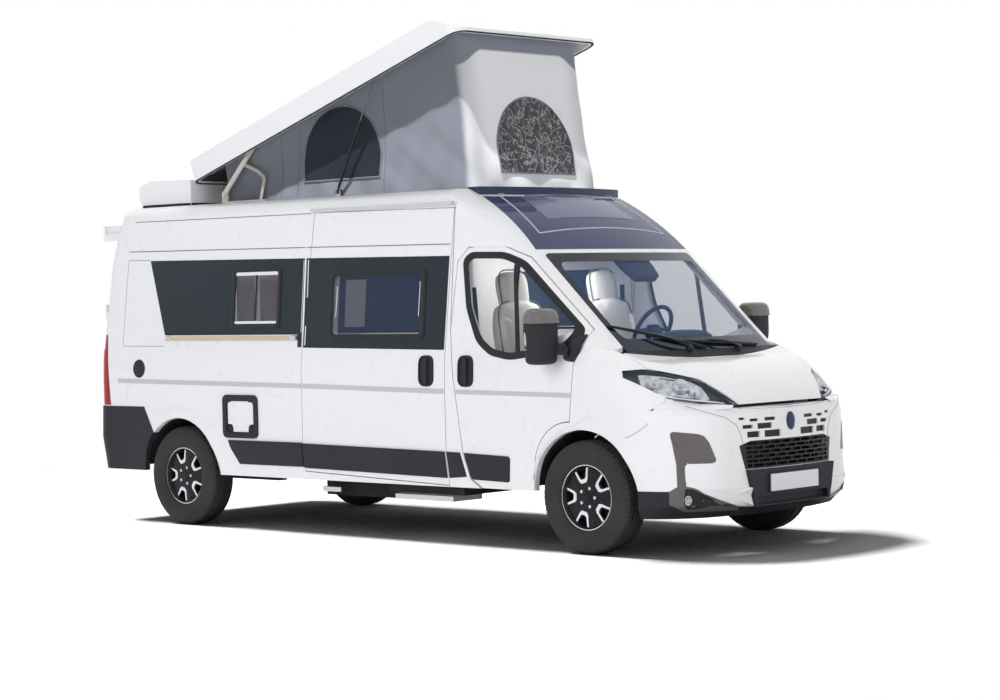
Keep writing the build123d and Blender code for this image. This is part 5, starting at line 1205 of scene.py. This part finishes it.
front_film = plate(FRONT_ARCH, film_rows(5, 1, 5), on_tent_front, centre=(28, 2740))
window = make_piece("tent_window_front", [front_film], CRINKLED, "van", weld=CLOTH_WELD)
front_edge = ring(densify(arch(-362, 420, 2546, 3103, 0.3), 30), FRONT_ARCH,
                  [(0, 2), (0.2, 7), (0.8, 7), (1, 2), (1, 0.5), (0, 0.5)], on_tent_front, centre=(28, 2740))
edge = make_piece("tent_window_front_edge", [front_edge], PIPING, "van", weld=CLOTH_WELD)
for piece in (window, edge):
    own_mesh(piece)
print("tent windows made")

# %% [markdown]
# ## Seal and lining of the roof shell
#
# Under the shell's rim runs a dark rubber seal, and a dark lining closes its rear end. Both follow the rim, a
# rounded rectangle in the tilted plane, so one place function carries flat rim coordinates into space.

# %% Pieces on the tilted rim
def on_rim(a, b, h):
    """Rim coordinates: a forward along the rim from its rear corner, b to the left, h square to the rim."""
    c, s = math.cos(ROOF_ANGLE), math.sin(ROOF_ANGLE)
    a, b, h = spread(a, b, h)
    return np.stack([HINGE_X + a * c - h * s, b, HINGE_Z + a * s + h * c], -1)


seal = ring(densify(box_outline(6, 3010, -753, 753, 104, 8), 120),
            densify(box_outline(26, 2990, -733, 733, 88, 8), 120),
            [(0, 4), (0.3, -5), (0.7, -7), (1, -3), (1, 8), (0, 8)], on_rim, centre=(1500, 0))
make_piece("roof_seal", [seal], RUBBER, "pop_roof")
LINER = [(44, -700), (136, -700), (140, -640), (250, -636), (250, 636), (140, 640), (136, 700), (44, 700)]
liner = plate(densify(LINER, 60), flat_edge(24, 8), on_rim, centre=(100, 0))
make_piece("roof_liner", [liner], CHASSIS, "pop_roof")

# %% Roof box behind the tent, its gasket and the straps beside the lift arms
ROOF_PAD_Z = 2430


def box_place(a, b, h):
    """Plain place: the flat coordinates are x and y, the height is z."""
    return np.stack(spread(a, b, h), -1)


gasket = ring(densify(box_outline(-2708, -2112, -742, 742, 30), 100),
              densify(box_outline(-2690, -2124, -726, 726, 24), 100),
              [(share, ROOF_PAD_Z + h) for share, h in ((0, 0), (0, 22), (0.5, 25), (1, 20), (1, 0))],
              box_place, centre=(-2400, 0))
STRAP = [(-1583, 2722), (-1527, 2704), (-1415, 2660), (-1358, 2618), (-1352, 2600), (-1372, 2520),
         (-1392, 2450)]
make_piece("roof_box_gasket", [gasket], RUBBER, "van")
for side, tag in SIDES:
    x, z = along(STRAP, 60).T
    strap = tube(upright(side, 662.0)(x, z, 0 * x), 14, 10, side_hint=(0, 1, 0), flat=0.5)
    strap = make_piece(f"tent_strap_{tag}", [strap], WEBBING, "van")
    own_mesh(strap)
    foot = plate(box_outline(-560, -505, 2432, 2486, 14), flat_edge(6, -6), upright(side, 668))
    make_piece(f"strut_bracket_{tag}", [foot], SATIN, "van")
print("roof pieces made")

# %% [markdown]
# ## Sun on the tent
#
# The shell overhangs the cloth by about 110 mm, so a sun 72 degrees high leaves a band of shadow along the
# top of each side wall. This sun shines on the tent alone, and in return the soft fill for the side leaves
# the tent out.

# %% Sun linked to the tent
tent_pieces = [piece for piece in bpy.data.objects if piece.name.startswith("tent_")]
lights_only(bpy.data.objects["fill for the side"], "EXCLUDE", tent_pieces)
lights_only(sun_lamp("tent sun", (0.0, 0.31, -1.0), 6.2, 1.5), "INCLUDE", tent_pieces)
print("tent pieces lit:", len(tent_pieces))

# %% [markdown]
# ## Cab inside: seats, steering wheel and dashboard tops
#
# Through the glass one sees two cream seats with their headrests built in, the steering wheel and the
# dashboard. A seat cushion is a superellipsoid: flat where one sits, round at its edges, and its sewn seams
# are drawn in by a narrow dip. Each seat is swelled a little by a cloth simulation and stands on a
# dark plinth.

# %% Seats
def tilted(points, tilt, centre):
    """Points turned about the Y axis by the tilt in degrees, then moved to the centre."""
    c, s = math.cos(math.radians(tilt)), math.sin(math.radians(tilt))
    x, y, z = np.moveaxis(points, -1, 0)
    return np.stack([c * x + s * z, y, c * z - s * x], -1) + np.asarray(centre, float)


def cushion(centre, radii, tilt, seams=(), squareness=(0.35, 0.35)):
    """Superellipsoid tilted about the Y axis; near each seam it is drawn in by 6 percent."""
    points, quads = egg((0, 0, 0), radii, squareness, rings=40, sides=56)
    dip = sum(np.exp(-((points[..., 2] / radii[2] - at) / 0.035) ** 2) for at in seams) if seams else 0
    points = points * (1 - 0.06 * np.asarray(dip)[..., None] * np.array([1, 0.25, 0]))
    return tilted(points, tilt, centre), quads


VOXEL, SWELL_CAP, SWELL_FRAMES, PRESSURE = 0.011, 0.012, 20, 4.0


def puffed(piece):
    """Blow a pad up with a cloth simulation: even mesh, pressure without gravity, and no point moves further
    than the cap. One subdivision smooths the result."""
    piece.modifiers.new("even mesh", "REMESH").voxel_size = VOXEL
    even = bpy.data.meshes.new_from_object(evaluated(piece))
    piece.modifiers.clear()
    even.materials.clear()
    even.materials.append(SEAT_CLOTH)
    piece.data = even
    start = coordinates(even)
    cloth = piece.modifiers.new("pressure", "CLOTH")
    cloth.settings.use_pressure = True
    cloth.settings.uniform_pressure_force = PRESSURE
    cloth.settings.effector_weights.gravity = 0.0
    cloth.point_cache.frame_end = SWELL_FRAMES
    for moment in range(1, SWELL_FRAMES + 1):
        scene.frame_set(moment)
    swollen = coordinates(evaluated(piece).data)
    piece.modifiers.clear()
    scene.frame_set(1)
    move = swollen - start
    length = np.maximum(np.linalg.norm(move, axis=1, keepdims=True), 1e-9)
    even.vertices.foreach_set("co", (start + move * np.minimum(1, SWELL_CAP / length)).ravel())
    smooth = piece.modifiers.new("smooth", "SUBSURF")
    smooth.levels = smooth.render_levels = 1
    piece.data = bpy.data.meshes.new_from_object(evaluated(piece))
    piece.modifiers.clear()
    piece.data.shade_smooth()
    print(piece.name, "swelled by up to", round(float(length.max()) / MM, 1), "mm, kept to", SWELL_CAP / MM)


def piping(centre, half_y, half_z, level, squareness=0.35):
    """Sewn edge round a cushion: a thin tube along the superellipse, tilted like the backrest."""
    turn = np.linspace(0, 2 * np.pi, 72)
    path = np.stack([level + 0 * turn, half_y * signed_power(np.cos(turn), squareness),
                     half_z * signed_power(np.sin(turn), squareness)], -1)
    return tube(tilted(path, RECLINE, centre), 4.5, 8, side_hint=(1, 0.01, 0.02))


SEAT_Y, RECLINE = 480, -10
for side, tag in SIDES:
    y = side * SEAT_Y
    base = cushion((1315, y, 935), (235, 245, 72), 4, (0.55, -0.55))
    back = cushion((1068, y, 1300), (64, 232, 345), RECLINE, (0.42, -0.1, -0.55))
    wing = [cushion((1092, y + s * 205, 1260), (68, 42, 280), RECLINE) for s in (-1, 1)]
    head = cushion((978, y, 1722), (54, 138, 140), RECLINE, (0.62,), (0.5, 0.5))
    seat = make_piece(f"cab_seat_{tag}", [base, back, *wing, head], SEAT_CLOTH, "van",
                      smooth=60)
    puffed(seat)
    sewn = [piping((1068, y, 1300), 236, 349, 30), piping((978, y, 1722), 141, 143, 14, 0.5)]
    make_piece(f"seat_piping_{tag}", sewn, PIPING, "van")
    plinth = plate(box_outline(1090, 1540, y - 205, y + 205, 40),
                   [(0, 0, 862), (1, 10, 862), (1, 0, 848), (1, 0, 532), (0, 0, 532)], box_place)
    make_piece(f"seat_plinth_{tag}", [plinth], CHASSIS, "van")
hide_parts("cab_seats")

# %% Steering wheel and dashboard tops
STEERING_HUB, STEERING_LEAN = (1515, 385, 1424), math.radians(28)


def on_steering(a, b, h):
    """Place in the steering wheel's leaning plane: a across, b up the slant, h towards the seat."""
    c, s = math.cos(STEERING_LEAN), math.sin(STEERING_LEAN)
    x, y, z = STEERING_HUB
    return np.stack([x + s * b - c * h, y + a + 0 * b, z + c * b + s * h], -1)


turn = np.linspace(0, 2 * np.pi, 49)
hoop = tube(on_steering(182 * np.cos(turn), 182 * np.sin(turn), 0 * turn), 15.5, 12, side_hint=(0.2, 0.1, 1))
hub_pad = plate(rounded([(-70, 40), (70, 40), (52, -62), (-52, -62)], 30),
                [(0, 0, 30), (0.6, 0, 28), (1, 6, 18), (1, 0, 0), (0, 0, -20)], on_steering)
spokes = [ribbon([(30 * s, 18), (170 * s, 8)], [(30 * s, -14), (170 * s, -10)], -6, 8, on_steering)
          for s in (-1, 1)]
spokes.append(ribbon([(-14, -50), (-12, -172)], [(14, -50), (12, -172)], -6, 8, on_steering))
column = tube(on_steering(np.zeros(6), np.linspace(0, -60, 6), np.linspace(-8, -330, 6)), 38, 16,
              side_hint=(0, 1, 0))
make_piece("steering_wheel", [hoop, hub_pad, *spokes, column], TRIM_BLACK, "van", smooth=50)
hood = egg((1800, 385, 1330), (150, 215, 95), (0.7, 0.6), low=-20, rings=16)
shelf = egg((1830, -330, 1318), (190, 330, 62), (0.6, 0.5), low=-20, rings=14)
make_piece("instrument_hood", [hood, shelf], DASH, "van", smooth=50)

# %% [markdown]
# ## Nose: backing, badge, inserts and lower trims
#
# Behind the slots of the nose lies a dark backing. Between them sits a blank oval badge, at each corner a
# brown-grey insert runs down into the lower trim, and below it come a white lip and a fog lamp in a
# three-cornered recess. Each is a plate whose outline is given on the facing plane.

# %% Backing, badge, number plate and the painted shade of the bonnet gap
nose = joined_solids(["front_bumper", "lower_bumper", "bonnet", "headlamps", "fenders", "grille"])
print("projection target:", len(nose.data.polygons), "triangles")
FRONT = facing(0.0)


def behind_nose(y, z, h):
    """Place 8 mm behind the nose's skin, which falls back by 197 mm at one metre off the middle."""
    y, z, h = spread(y, z, h)
    return np.stack([2956 - 197e-6 * y ** 2 + h, y, z], -1)


backing = plate(densify(box_outline(-515, 515, 740, 896, 20), 60), flat_edge(0, -3), behind_nose)
make_piece("slot_backing", [backing], SATIN, "van")
on_front = lay_on(nose, FRONT)
oval = np.radians(np.arange(0, 360, 12))
badge = plate(np.stack([44 * np.cos(oval), 838 + 60 * np.sin(oval)], -1),
              [(0, 0, 9), (0.6, 0, 8), (1, 6, 7), (1, 3, 5), (1, 0, 5), (1, 0, -2), (0, 0, -2)], on_front)
make_piece("blank_badge", [badge], NAVY, "van")
# A dark strip along the bonnet's lower edge is painted shade in the gap
BONNET_GAP = [(-470, 938), (-300, 930), (0, 926), (300, 930), (470, 938), (470, 941), (0, 941), (-470, 941)]
bonnet_strip = plate(densify(BONNET_GAP, 30), [(0, 0, 2), (1, 1, 2), (1, 0, 1), (1, 0, -3), (0, 0, -3)],
                     on_front, centre=(0, 936))
make_piece("bonnet_strip", [bonnet_strip], SATIN, "van")
PLATE_ROWS = [(0, 0, 4), (0.9, 0, 4), (1, 3, 4), (1, 2, 5), (1, 0, 4), (1, 0, 0), (0, 0, 0)]
number_plate = plate(box_outline(-260, 260, 396, 506, 7), PLATE_ROWS, on_front)
make_piece("number_plate_front", [number_plate], PLATE_WHITE, "van")

# %% Inserts, lips, fog lamps and seams of both corners
def trim(points, axes, sizes, rows, place):
    """Plate whose outline is points in space, seen flat; sizes: rounding, curve steps, longest run."""
    radius, steps, step = sizes
    return plate(densify(rounded(seen_flat(points, axes), radius, steps), step), rows, place)


CORNER, LIP_LOOK = facing(38.0), facing(15.0)
INSERT = [(2693, 919, 795), (2707, 908, 809), (2818, 788, 791), (2839, 755, 777), (2856, 726, 737),
          (2879, 683, 624), (2877, 690, 607), (2867, 715, 602), (2779, 848, 604), (2766, 863, 589),
          (2768, 863, 503), (2773, 860, 473), (2770, 862, 424), (2728, 899, 424), (2729, 898, 479),
          (2725, 900, 606), (2705, 912, 732)]
# The lip stands out further than the other trims, because its base has pressed steps
LIP = [(2814, 815, 446), (2872, 726, 436), (2902, 642, 434), (2948, 430, 434), (2948, 426, 383),
       (2961, 409, 314), (2947, 409, 306), (2906, 504, 314), (2888, 666, 366), (2844, 772, 412)]
BEZEL = [(2686, 928, 429), (2726, 901, 458), (2768, 863, 462), (2797, 835, 455), (2878, 704, 401),
         (2919, 520, 331), (2879, 469, 284), (2851, 620, 290), (2732, 839, 296), (2682, 922, 346)]
RECESS = [(2766, 866, 448), (2806, 826, 440), (2874, 700, 369), (2866, 705, 340), (2828, 746, 322),
          (2753, 834, 312), (2748, 862, 350)]
SHALLOW = [(0, 0, 3), (0.5, 0, 3), (0.85, 0, 3), (1, 5, 3), (1, 0, 0.5), (1, 0, -2), (0, 0, -2)]
SUNK = [(0, 0, 3.6), (0.55, 0, 3.6), (1, 12, 4), (1, 5, 7), (1, 2, 7), (1, 0, 3), (0, 0, 1)]
SEAMS = (([(2640, 882, 1003), (2816, 751, 934), (2860, 680, 910), (2894, 595, 883), (2913, 517, 835),
           (2924, 480, 770), (2928, 467, 711)], facing(30.0)),
         ([(2572, 985, 864), (2560, 992, 846), (2480, 1015, 792), (2398, 1024, 762)], facing(60.0)))
for side, tag in SIDES:
    corner = lay_on(nose, CORNER, side)
    insert = [trim(part, CORNER, (9, 4, 18), SHALLOW, corner)
              for part in (INSERT[:9], INSERT[:1] + INSERT[8:])]
    make_piece(f"bumper_insert_{tag}", insert, BRONZE_GREY, "van")
    lip = trim(LIP, LIP_LOOK, (6, 3, 25), [(share, inset, height + 6) for share, inset, height in SHALLOW],
               lay_on(nose, LIP_LOOK, side))
    make_piece(f"bumper_lip_{tag}", [lip], PAINT, "van")
    bezel = trim(BEZEL, CORNER, (8, 4, 18), SHALLOW, corner)
    make_piece(f"fog_bezel_{tag}", [bezel], BRONZE_GREY, "van")
    recess = trim(RECESS, CORNER, (14, 4, 14), SUNK, corner)
    make_piece(f"fog_recess_{tag}", [recess], SATIN, "van")
    spot = seen_flat([(2775, 849, 372)], CORNER)[0]
    fog_place = lambda a, b, h, spot=spot, corner=corner: corner(spot[0] + 0.72 * a, spot[1] + b, h + 3)
    fog_ring = turned([(20, 3), (24, 9), (31, 9), (34, 5), (34, 0), (20, 0), (20, 3)], fog_place, 28)
    fog_bowl = turned([(0, 3), (10, 4), (20, 7), (21, 0), (0, 0)], fog_place, 28)
    make_piece(f"fog_lamp_{tag}", [fog_ring, fog_bowl], CHROME, "van")
    # The seams are tubes in the dark groove grey: painted shade in the gaps between the panels
    seams = [tube(lay_on(nose, look, side)(*along(seen_flat(line, look), 40).T, 0), 1.8, 6,
                  side_hint=(0.3, 0.2, 1)) for line, look in SEAMS]
    make_piece(f"bumper_seams_{tag}", seams, GROOVE_SHADE, "van")
print("nose corners made")

# %% [markdown]
# ## Flares round the wheel arches
#
# Each arch has a pressed flare, a low band along its edge. In polar coordinates round the axle it is a grid
# of radius by angle. The front one narrows beside the cab door, so that the door can open past it.

# %% Flares of the front and rear arches
ARCH_RADIUS = 447


def arch_flare(axle_x, place, first, last, outer):
    """Closed band round an axle between two angles in degrees; outer gives its outer radius at each angle."""
    turn = np.linspace(first, last, 70)
    share = np.array([0, 0.12, 0.4, 0.7, 0.9, 1, 1, 0])[:, None]
    height = np.array([3, 9, 10, 8, 3, 0, -3, -3.0])[:, None] + 0 * turn
    radius = ARCH_RADIUS + (outer(turn) - ARCH_RADIUS) * share
    points = place(axle_x + radius * np.cos(np.radians(turn)), HUB_Z + radius * np.sin(np.radians(turn)),
                   height)
    for end in (0, -1):
        points[:, end] = points[:, end].mean(0)
    return points, grid_faces(len(share), len(turn), wrap_rows=True)


front_side = joined_solids(["fenders", "front_bumper", "lower_bumper"])
for side, tag in SIDES:
    beside = lay_on(front_side, facing(90.0), side)
    front_flare = arch_flare(FRONT_AXLE, lambda x, z, h, beside=beside: beside(-x, z, h), 14, 168,
                             lambda turn: 462 + 78 / (1 + np.exp((turn - 92) / 4)))
    rear_flare = arch_flare(REAR_AXLE, on_side(side), 4, 118, lambda turn: 530 + 0 * turn)
    make_piece(f"arch_flares_{tag}", [front_flare, rear_flare], PAINT, "van", smooth=50)
    turn = np.radians(np.linspace(34, 146, 40))
    half_disc = np.stack([FRONT_AXLE + 434 * np.cos(turn), HUB_Z + 434 * np.sin(turn)], -1)
    splash_wall = plate(half_disc, flat_edge(3, -3), upright(side, 600))
    make_piece(f"arch_splash_wall_{tag}", [splash_wall], CHASSIS, "van")
bpy.data.objects.remove(front_side)
print("arch flares made")

# %% [markdown]
# ## Headlamps
#
# Behind the clear cover lies a dark housing with a bright reflector panel and three round bowls. The housing
# is a plate that follows the cover, set back by its thickness. Its raised border hides the cut edges of the
# sheet metal.

# %% Housing, reflector panel, bowls and light strip
LAMP_FACE = facing(42.0, 24.0)
LAMP_EDGE = [(2893, 446, 960), (2840, 530, 1040), (2776, 614, 1120), (2560, 800, 1172), (2440, 880, 1194),
             (2330, 955, 1190), (2300, 972, 1152), (2420, 945, 1085), (2480, 915, 1060), (2640, 826, 988),
             (2770, 700, 968)]
BRIGHT = [(2443, 916, 1176), (2548, 823, 1164), (2676, 679, 1124), (2738, 635, 1085), (2810, 640, 1012),
          (2799, 697, 1000), (2633, 865, 1026), (2549, 925, 1060), (2481, 935, 1112)]
BOWLS = [((2650, 745, 1085), 52), ((2730, 690, 1050), 44), ((2530, 860, 1105), 46)]
BOWL_ROWS = [(0, -22), (0.18, -22), (0.22, -30), (0.5, -30), (0.8, -24), (1, -14), (1.08, -14),
             (1.1, -32), (0, -32)]
BED_ROWS = [(0, 0, -44), (0.5, 0, -44), (1, 16, -44), (1, 10, -14), (1, 3, -8), (1, 0, -10),
            (1, 0, -60), (0, 0, -60)]
BRIGHT_ROWS = [(0, 0, -30), (0.3, 0, -33), (0.6, 0, -30), (0.85, 0, -34), (1, 4, -28), (1, 0, -30),
               (1, 0, -46), (0, 0, -46)]
LIGHT_STRIP = [(2860, 560, 978), (2810, 640, 984), (2740, 740, 992), (2660, 830, 1010), (2560, 905, 1050)]
for side, tag in SIDES:
    lamp_place = lay_on(nose, LAMP_FACE, side)
    bed = plate(densify(seen_flat(LAMP_EDGE, LAMP_FACE), 22), BED_ROWS, lamp_place)
    make_piece(f"lamp_housing_{tag}", [bed], GLOSS, "van")
    panel = trim(BRIGHT, LAMP_FACE, (14, 4, 14), BRIGHT_ROWS, lamp_place)
    bowls = []
    for spot, radius in BOWLS:
        a0, b0 = seen_flat([spot], LAMP_FACE)[0]
        bowl_place = lambda a, b, h, a0=a0, b0=b0, lamp_place=lamp_place: lamp_place(a0 + a, b0 + b, h)
        bowls.append(turned([(share * radius, height) for share, height in BOWL_ROWS], bowl_place, 32))
    make_piece(f"lamp_reflector_{tag}", [panel, *bowls], CHROME, "van")
    light_strip = tube(lamp_place(*along(seen_flat(LIGHT_STRIP, LAMP_FACE), 30).T, -16.0), 6, 8,
                       side_hint=(0.2, 0.1, 1))
    make_piece(f"lamp_strip_{tag}", [light_strip], PLATE_WHITE, "van")
print("headlamps made")

# %% [markdown]
# ## Aprons below the headlamps
#
# A strip of the painted nose fills the corner between each lamp's lower edge and the bumper. It is ruled:
# every point lies on a straight line from the lower edge to the upper one, bulged outwards by a sine.

# %% Ruled strips
LOW_EDGE = [(2590, 952, 938), (2663, 922, 934), (2720, 862, 937), (2770, 795, 939), (2822, 722, 939),
            (2868, 650, 938), (2905, 545, 936)]
LAMP_FOOT = [(2590, 925, 1030), (2642, 866, 1014), (2700, 803, 1000), (2750, 742, 988), (2800, 677, 978),
             (2850, 600, 969), (2890, 505, 961)]
low, high = along(LOW_EDGE, 31)[:, None], along(LAMP_FOOT, 31)[:, None]
rise = np.linspace(0, 1, 6)
ruled = low + (high - low) * rise[None, :, None]
outwards = np.array([0.62, 0.78, 0.0])
ruled += 5 * np.sin(np.pi * rise)[None, :, None] * outwards
for side, tag in SIDES:
    loop = np.concatenate([ruled, ruled[:, ::-1] - 4 * outwards], 1)
    shell = np.concatenate([loop.mean(1, keepdims=True)[:1].repeat(12, 1), loop,
                            loop.mean(1, keepdims=True)[-1:].repeat(12, 1)]) * (1, side, 1)
    make_piece(f"lamp_apron_{tag}", [(shell, grid_faces(len(shell), 12))], PAINT, "van")

# %% [markdown]
# ## Wipers
#
# The wipers park low on the screen, each a flat tapering arm over a thin blade. Both are tubes whose points
# come from the screen's own function, the arm lifted by half a sine.

# %% Wipers
def wiper(name, pivot, clip, tip_a, tip_b):
    """Arm from the pivot to the clip and blade between its two tips, all given as y, z on the screen."""
    arch_up = np.sin(np.pi * np.linspace(0, 1, 12))
    arm_y, arm_z = along([pivot, clip], 12).T
    blade_y, blade_z = along([tip_a, tip_b], 12).T
    arm = tube(on_screen(arm_y, arm_z, 24 + 18 * arch_up), np.linspace(13, 7, 12), 8, flat=0.6)
    blade = tube(on_screen(blade_y, blade_z, 14), 7 + 5 * arch_up, 8)
    lip = tube(on_screen(blade_y, blade_z, 5), 3.5, 6)
    boss = turned([(0, 34), (16, 34), (22, 26), (24, 2), (0, 2)],
                  lambda a, b, h: on_screen(pivot[0] + a, pivot[1] + b * 0.7, h), 20)
    make_piece(name, [arm, blade, lip, boss], SATIN, "van")


wiper("wiper_right", (-250, 1307), (-562, 1412), (-770, 1470), (-80, 1308))
wiper("wiper_left", (267, 1297), (-30, 1351), (-305, 1362), (560, 1312))
bpy.data.objects.remove(nose)
print("wipers made")

# %% [markdown]
# ## Roof window
#
# The tinted roof window has a fine light line near its edge and, in its middle, a lavender pane that is a
# painted reflection of the sky. Both are laid on the glass, which slopes back by 40 degrees.

# %% Line of the roof window and the painted sky reflection in its middle
sky = joined_solids(["skyroof"])
LOOKING = facing(0.0, 50.0)
on_sky = lay_on(sky, LOOKING)
sky_line = seen_flat([(958, -600, 2371), (1405, -668, 2101), (1405, 668, 2101), (958, 600, 2371)], LOOKING)
inner_line = seen_flat([(961, -585, 2369), (1396, -655, 2107), (1396, 655, 2107), (961, 585, 2369)], LOOKING)
pinstripe = ring(densify(sky_line, 40), densify(inner_line, 40), [(0, 0.8), (1, 0.8), (1, -0.6), (0, -0.6)],
                 on_sky)
make_piece("roof_window_line", [pinstripe], INNER_LIGHT, "van")
# The lavender pane is a painted reflection of the sky on the glass
pale = seen_flat([(1000, -430, 2349), (1290, -470, 2179), (1290, 470, 2179), (1000, 430, 2349)], LOOKING)
pane = plate(densify(rounded(pale, 30), 40), film_rows(2, -0.6, 6), on_sky)
SKY_REFLECTION = finish("lavender_tint", (0.10, 0.11, 0.22), (0.14, 0.14, 0.26), (0.05, 0.08), patch=2, grain=30,
              bump=0.01, gloss=0.4)
make_piece("roof_window_pane", [pane], SKY_REFLECTION, "van")
bpy.data.objects.remove(sky)
bpy.data.objects.remove(door_skin)
print("roof window made")

# %% [markdown]
# ## Rear end
#
# The two rear doors carry rubber-framed windows, and a rubber strip closes the gap between them. The right
# one has the handle and a blank number plate. The tail lamps get a clear reversing lens and an amber one, and
# reflectors sit in the bumper.

# %% Trims of the rear doors
BEHIND = facing(180.0)
rear_skin = joined_solids(["rear_door_left", "rear_glass_left"])
PANE_ROWS = [(0, 2), (0.2, 7), (0.85, 9), (1, 5), (1, -1), (0, -1)]
for side, tag in SIDES:
    on_rear = lay_on(rear_skin, BEHIND, side)
    frame_band = ring(densify(box_outline(-764, -128, 1418, 1982, 66), 40),
                      densify(box_outline(-728, -164, 1454, 1946, 44), 40), PANE_ROWS, on_rear,
                      centre=(-446, 1700))
    make_piece(f"rear_window_frame_{tag}", [frame_band], SATIN, f"rear_door_{tag[0]}")
on_rear = lay_on(rear_skin, BEHIND, RIGHT)
centre_strip = plate(densify([(-20, 580), (2, 580), (2, 2270), (-20, 2270)], 50),
                     soft_edge(4, 3, 0.5, -16, 2, 0.8), on_rear, centre=(-9, 1400))
make_piece("rear_centre_seal", [centre_strip], RUBBER, "rear_door_r")
bezel = ring(densify(box_outline(-150, -66, 1060, 1260, 26), 30),
             densify(box_outline(-138, -78, 1072, 1248, 20), 30),
             [(0, 2), (0.3, 9), (0.8, 10), (1, 4), (1, -1), (0, -1)], on_rear, centre=(-108, 1160))
grip = plate(densify(box_outline(-122, -94, 1076, 1244, 12), 30), soft_edge(24, 20, 12, -2), on_rear)
make_piece("rear_door_handle", [bezel, grip], TRIM_BLACK, "rear_door_r")
plate_bed = plate(densify(box_outline(-760, -196, 1010, 1160, 16), 40), soft_edge(5, 5, 2, -1, 4, 0.5),
                  on_rear)
make_piece("rear_plate_bed", [plate_bed], SATIN, "rear_door_r")
blank = plate(densify(box_outline(-738, -218, 1030, 1140, 8), 40), flat_edge(8, 3, 2), on_rear)
make_piece("number_plate_rear", [blank], PLATE_WHITE, "rear_door_r")
bpy.data.objects.remove(rear_skin)
print("rear doors dressed")

# %% Lamps and reflectors
AMBER = finish("amber_lens", (0.62, 0.20, 0.02), (0.50, 0.15, 0.015), (0.10, 0.14), patch=9, grain=90,
               bump=0.15, pattern="cells", gloss=0.4)
LAMP_LOOK = facing(150.0)
lamp_skin, bumper_skin = joined_solids(["tail_lamps"]), joined_solids(["rear_bumper"])
LENS_ROWS = [(0, 0, 3), (0.5, 0, 3), (0.9, 0, 2.5), (1, 0, 0.5), (1, 0, -2), (0, 0, -2)]
for side, tag in SIDES:
    on_lamp, on_bumper = lay_on(lamp_skin, LAMP_LOOK, side), lay_on(bumper_skin, BEHIND, side)
    middle = seen_flat([(-2900, 940, 1000)], LAMP_LOOK)[0, 0]
    for name, low, high, lens in (("reversing_lens", 962, 1042, PLATE_WHITE),
                                  ("amber_lens", 1062, 1132, AMBER)):
        face = plate(densify(box_outline(middle - 26, middle + 26, low, high, 10), 20), LENS_ROWS, on_lamp)
        make_piece(f"{name}_{tag}", [face], lens, "van")
    glow = plate(densify(box_outline(-900, -760, 600, 640, 10), 25),
                 [(0, 0, 5), (0.9, 0, 5), (1, 0, 3), (1, 0, -1), (0, 0, -1)], on_bumper)
    make_piece(f"bumper_reflector_{tag}", [glow], RED_LENS, "van")
bpy.data.objects.remove(lamp_skin)
bpy.data.objects.remove(bumper_skin)
print("rear lamps dressed")

# %% [markdown]
# ## Step, bracket and belts
#
# The folding step has a ribbed tread under a dark casing. Beside it a light bracket holds the tank. Inside
# the cab the seat belts run down from the pillars.

# %% Step and bracket
RIB_ROWS = [(0, 0, 335), (0.9, 0, 335), (1, 1, 333), (1, 0, 328), (0, 0, 328)]
ribs = [plate(box_outline(252, 788, y0, y0 + 16, 5), RIB_ROWS, box_place) for y0 in range(-918, -700, 36)]
make_piece("step_ribs", ribs, TRIM_GREY, "step")
bracket = plate(box_outline(-628, -436, -815, -775, 8),
                [(0, 0, 297), (1, 2, 297), (1, 0, 300), (1, 0, 330), (0, 0, 330)], box_place)
make_piece("tank_bracket", [bracket], ALU, "van")

# %% Belts
for side, tag in SIDES:
    run = np.linspace(0, 1, 24)
    path = np.stack([905 + 15 * np.sin(np.pi * run), side * (792 - 42 * run), 1750 - 1050 * run], -1)
    belt = tube(path, 23, 8, side_hint=(0, 1, 0), flat=0.08)
    make_piece(f"seat_belt_{tag}", [belt], MESH_DARK, "van")
print("small parts made")
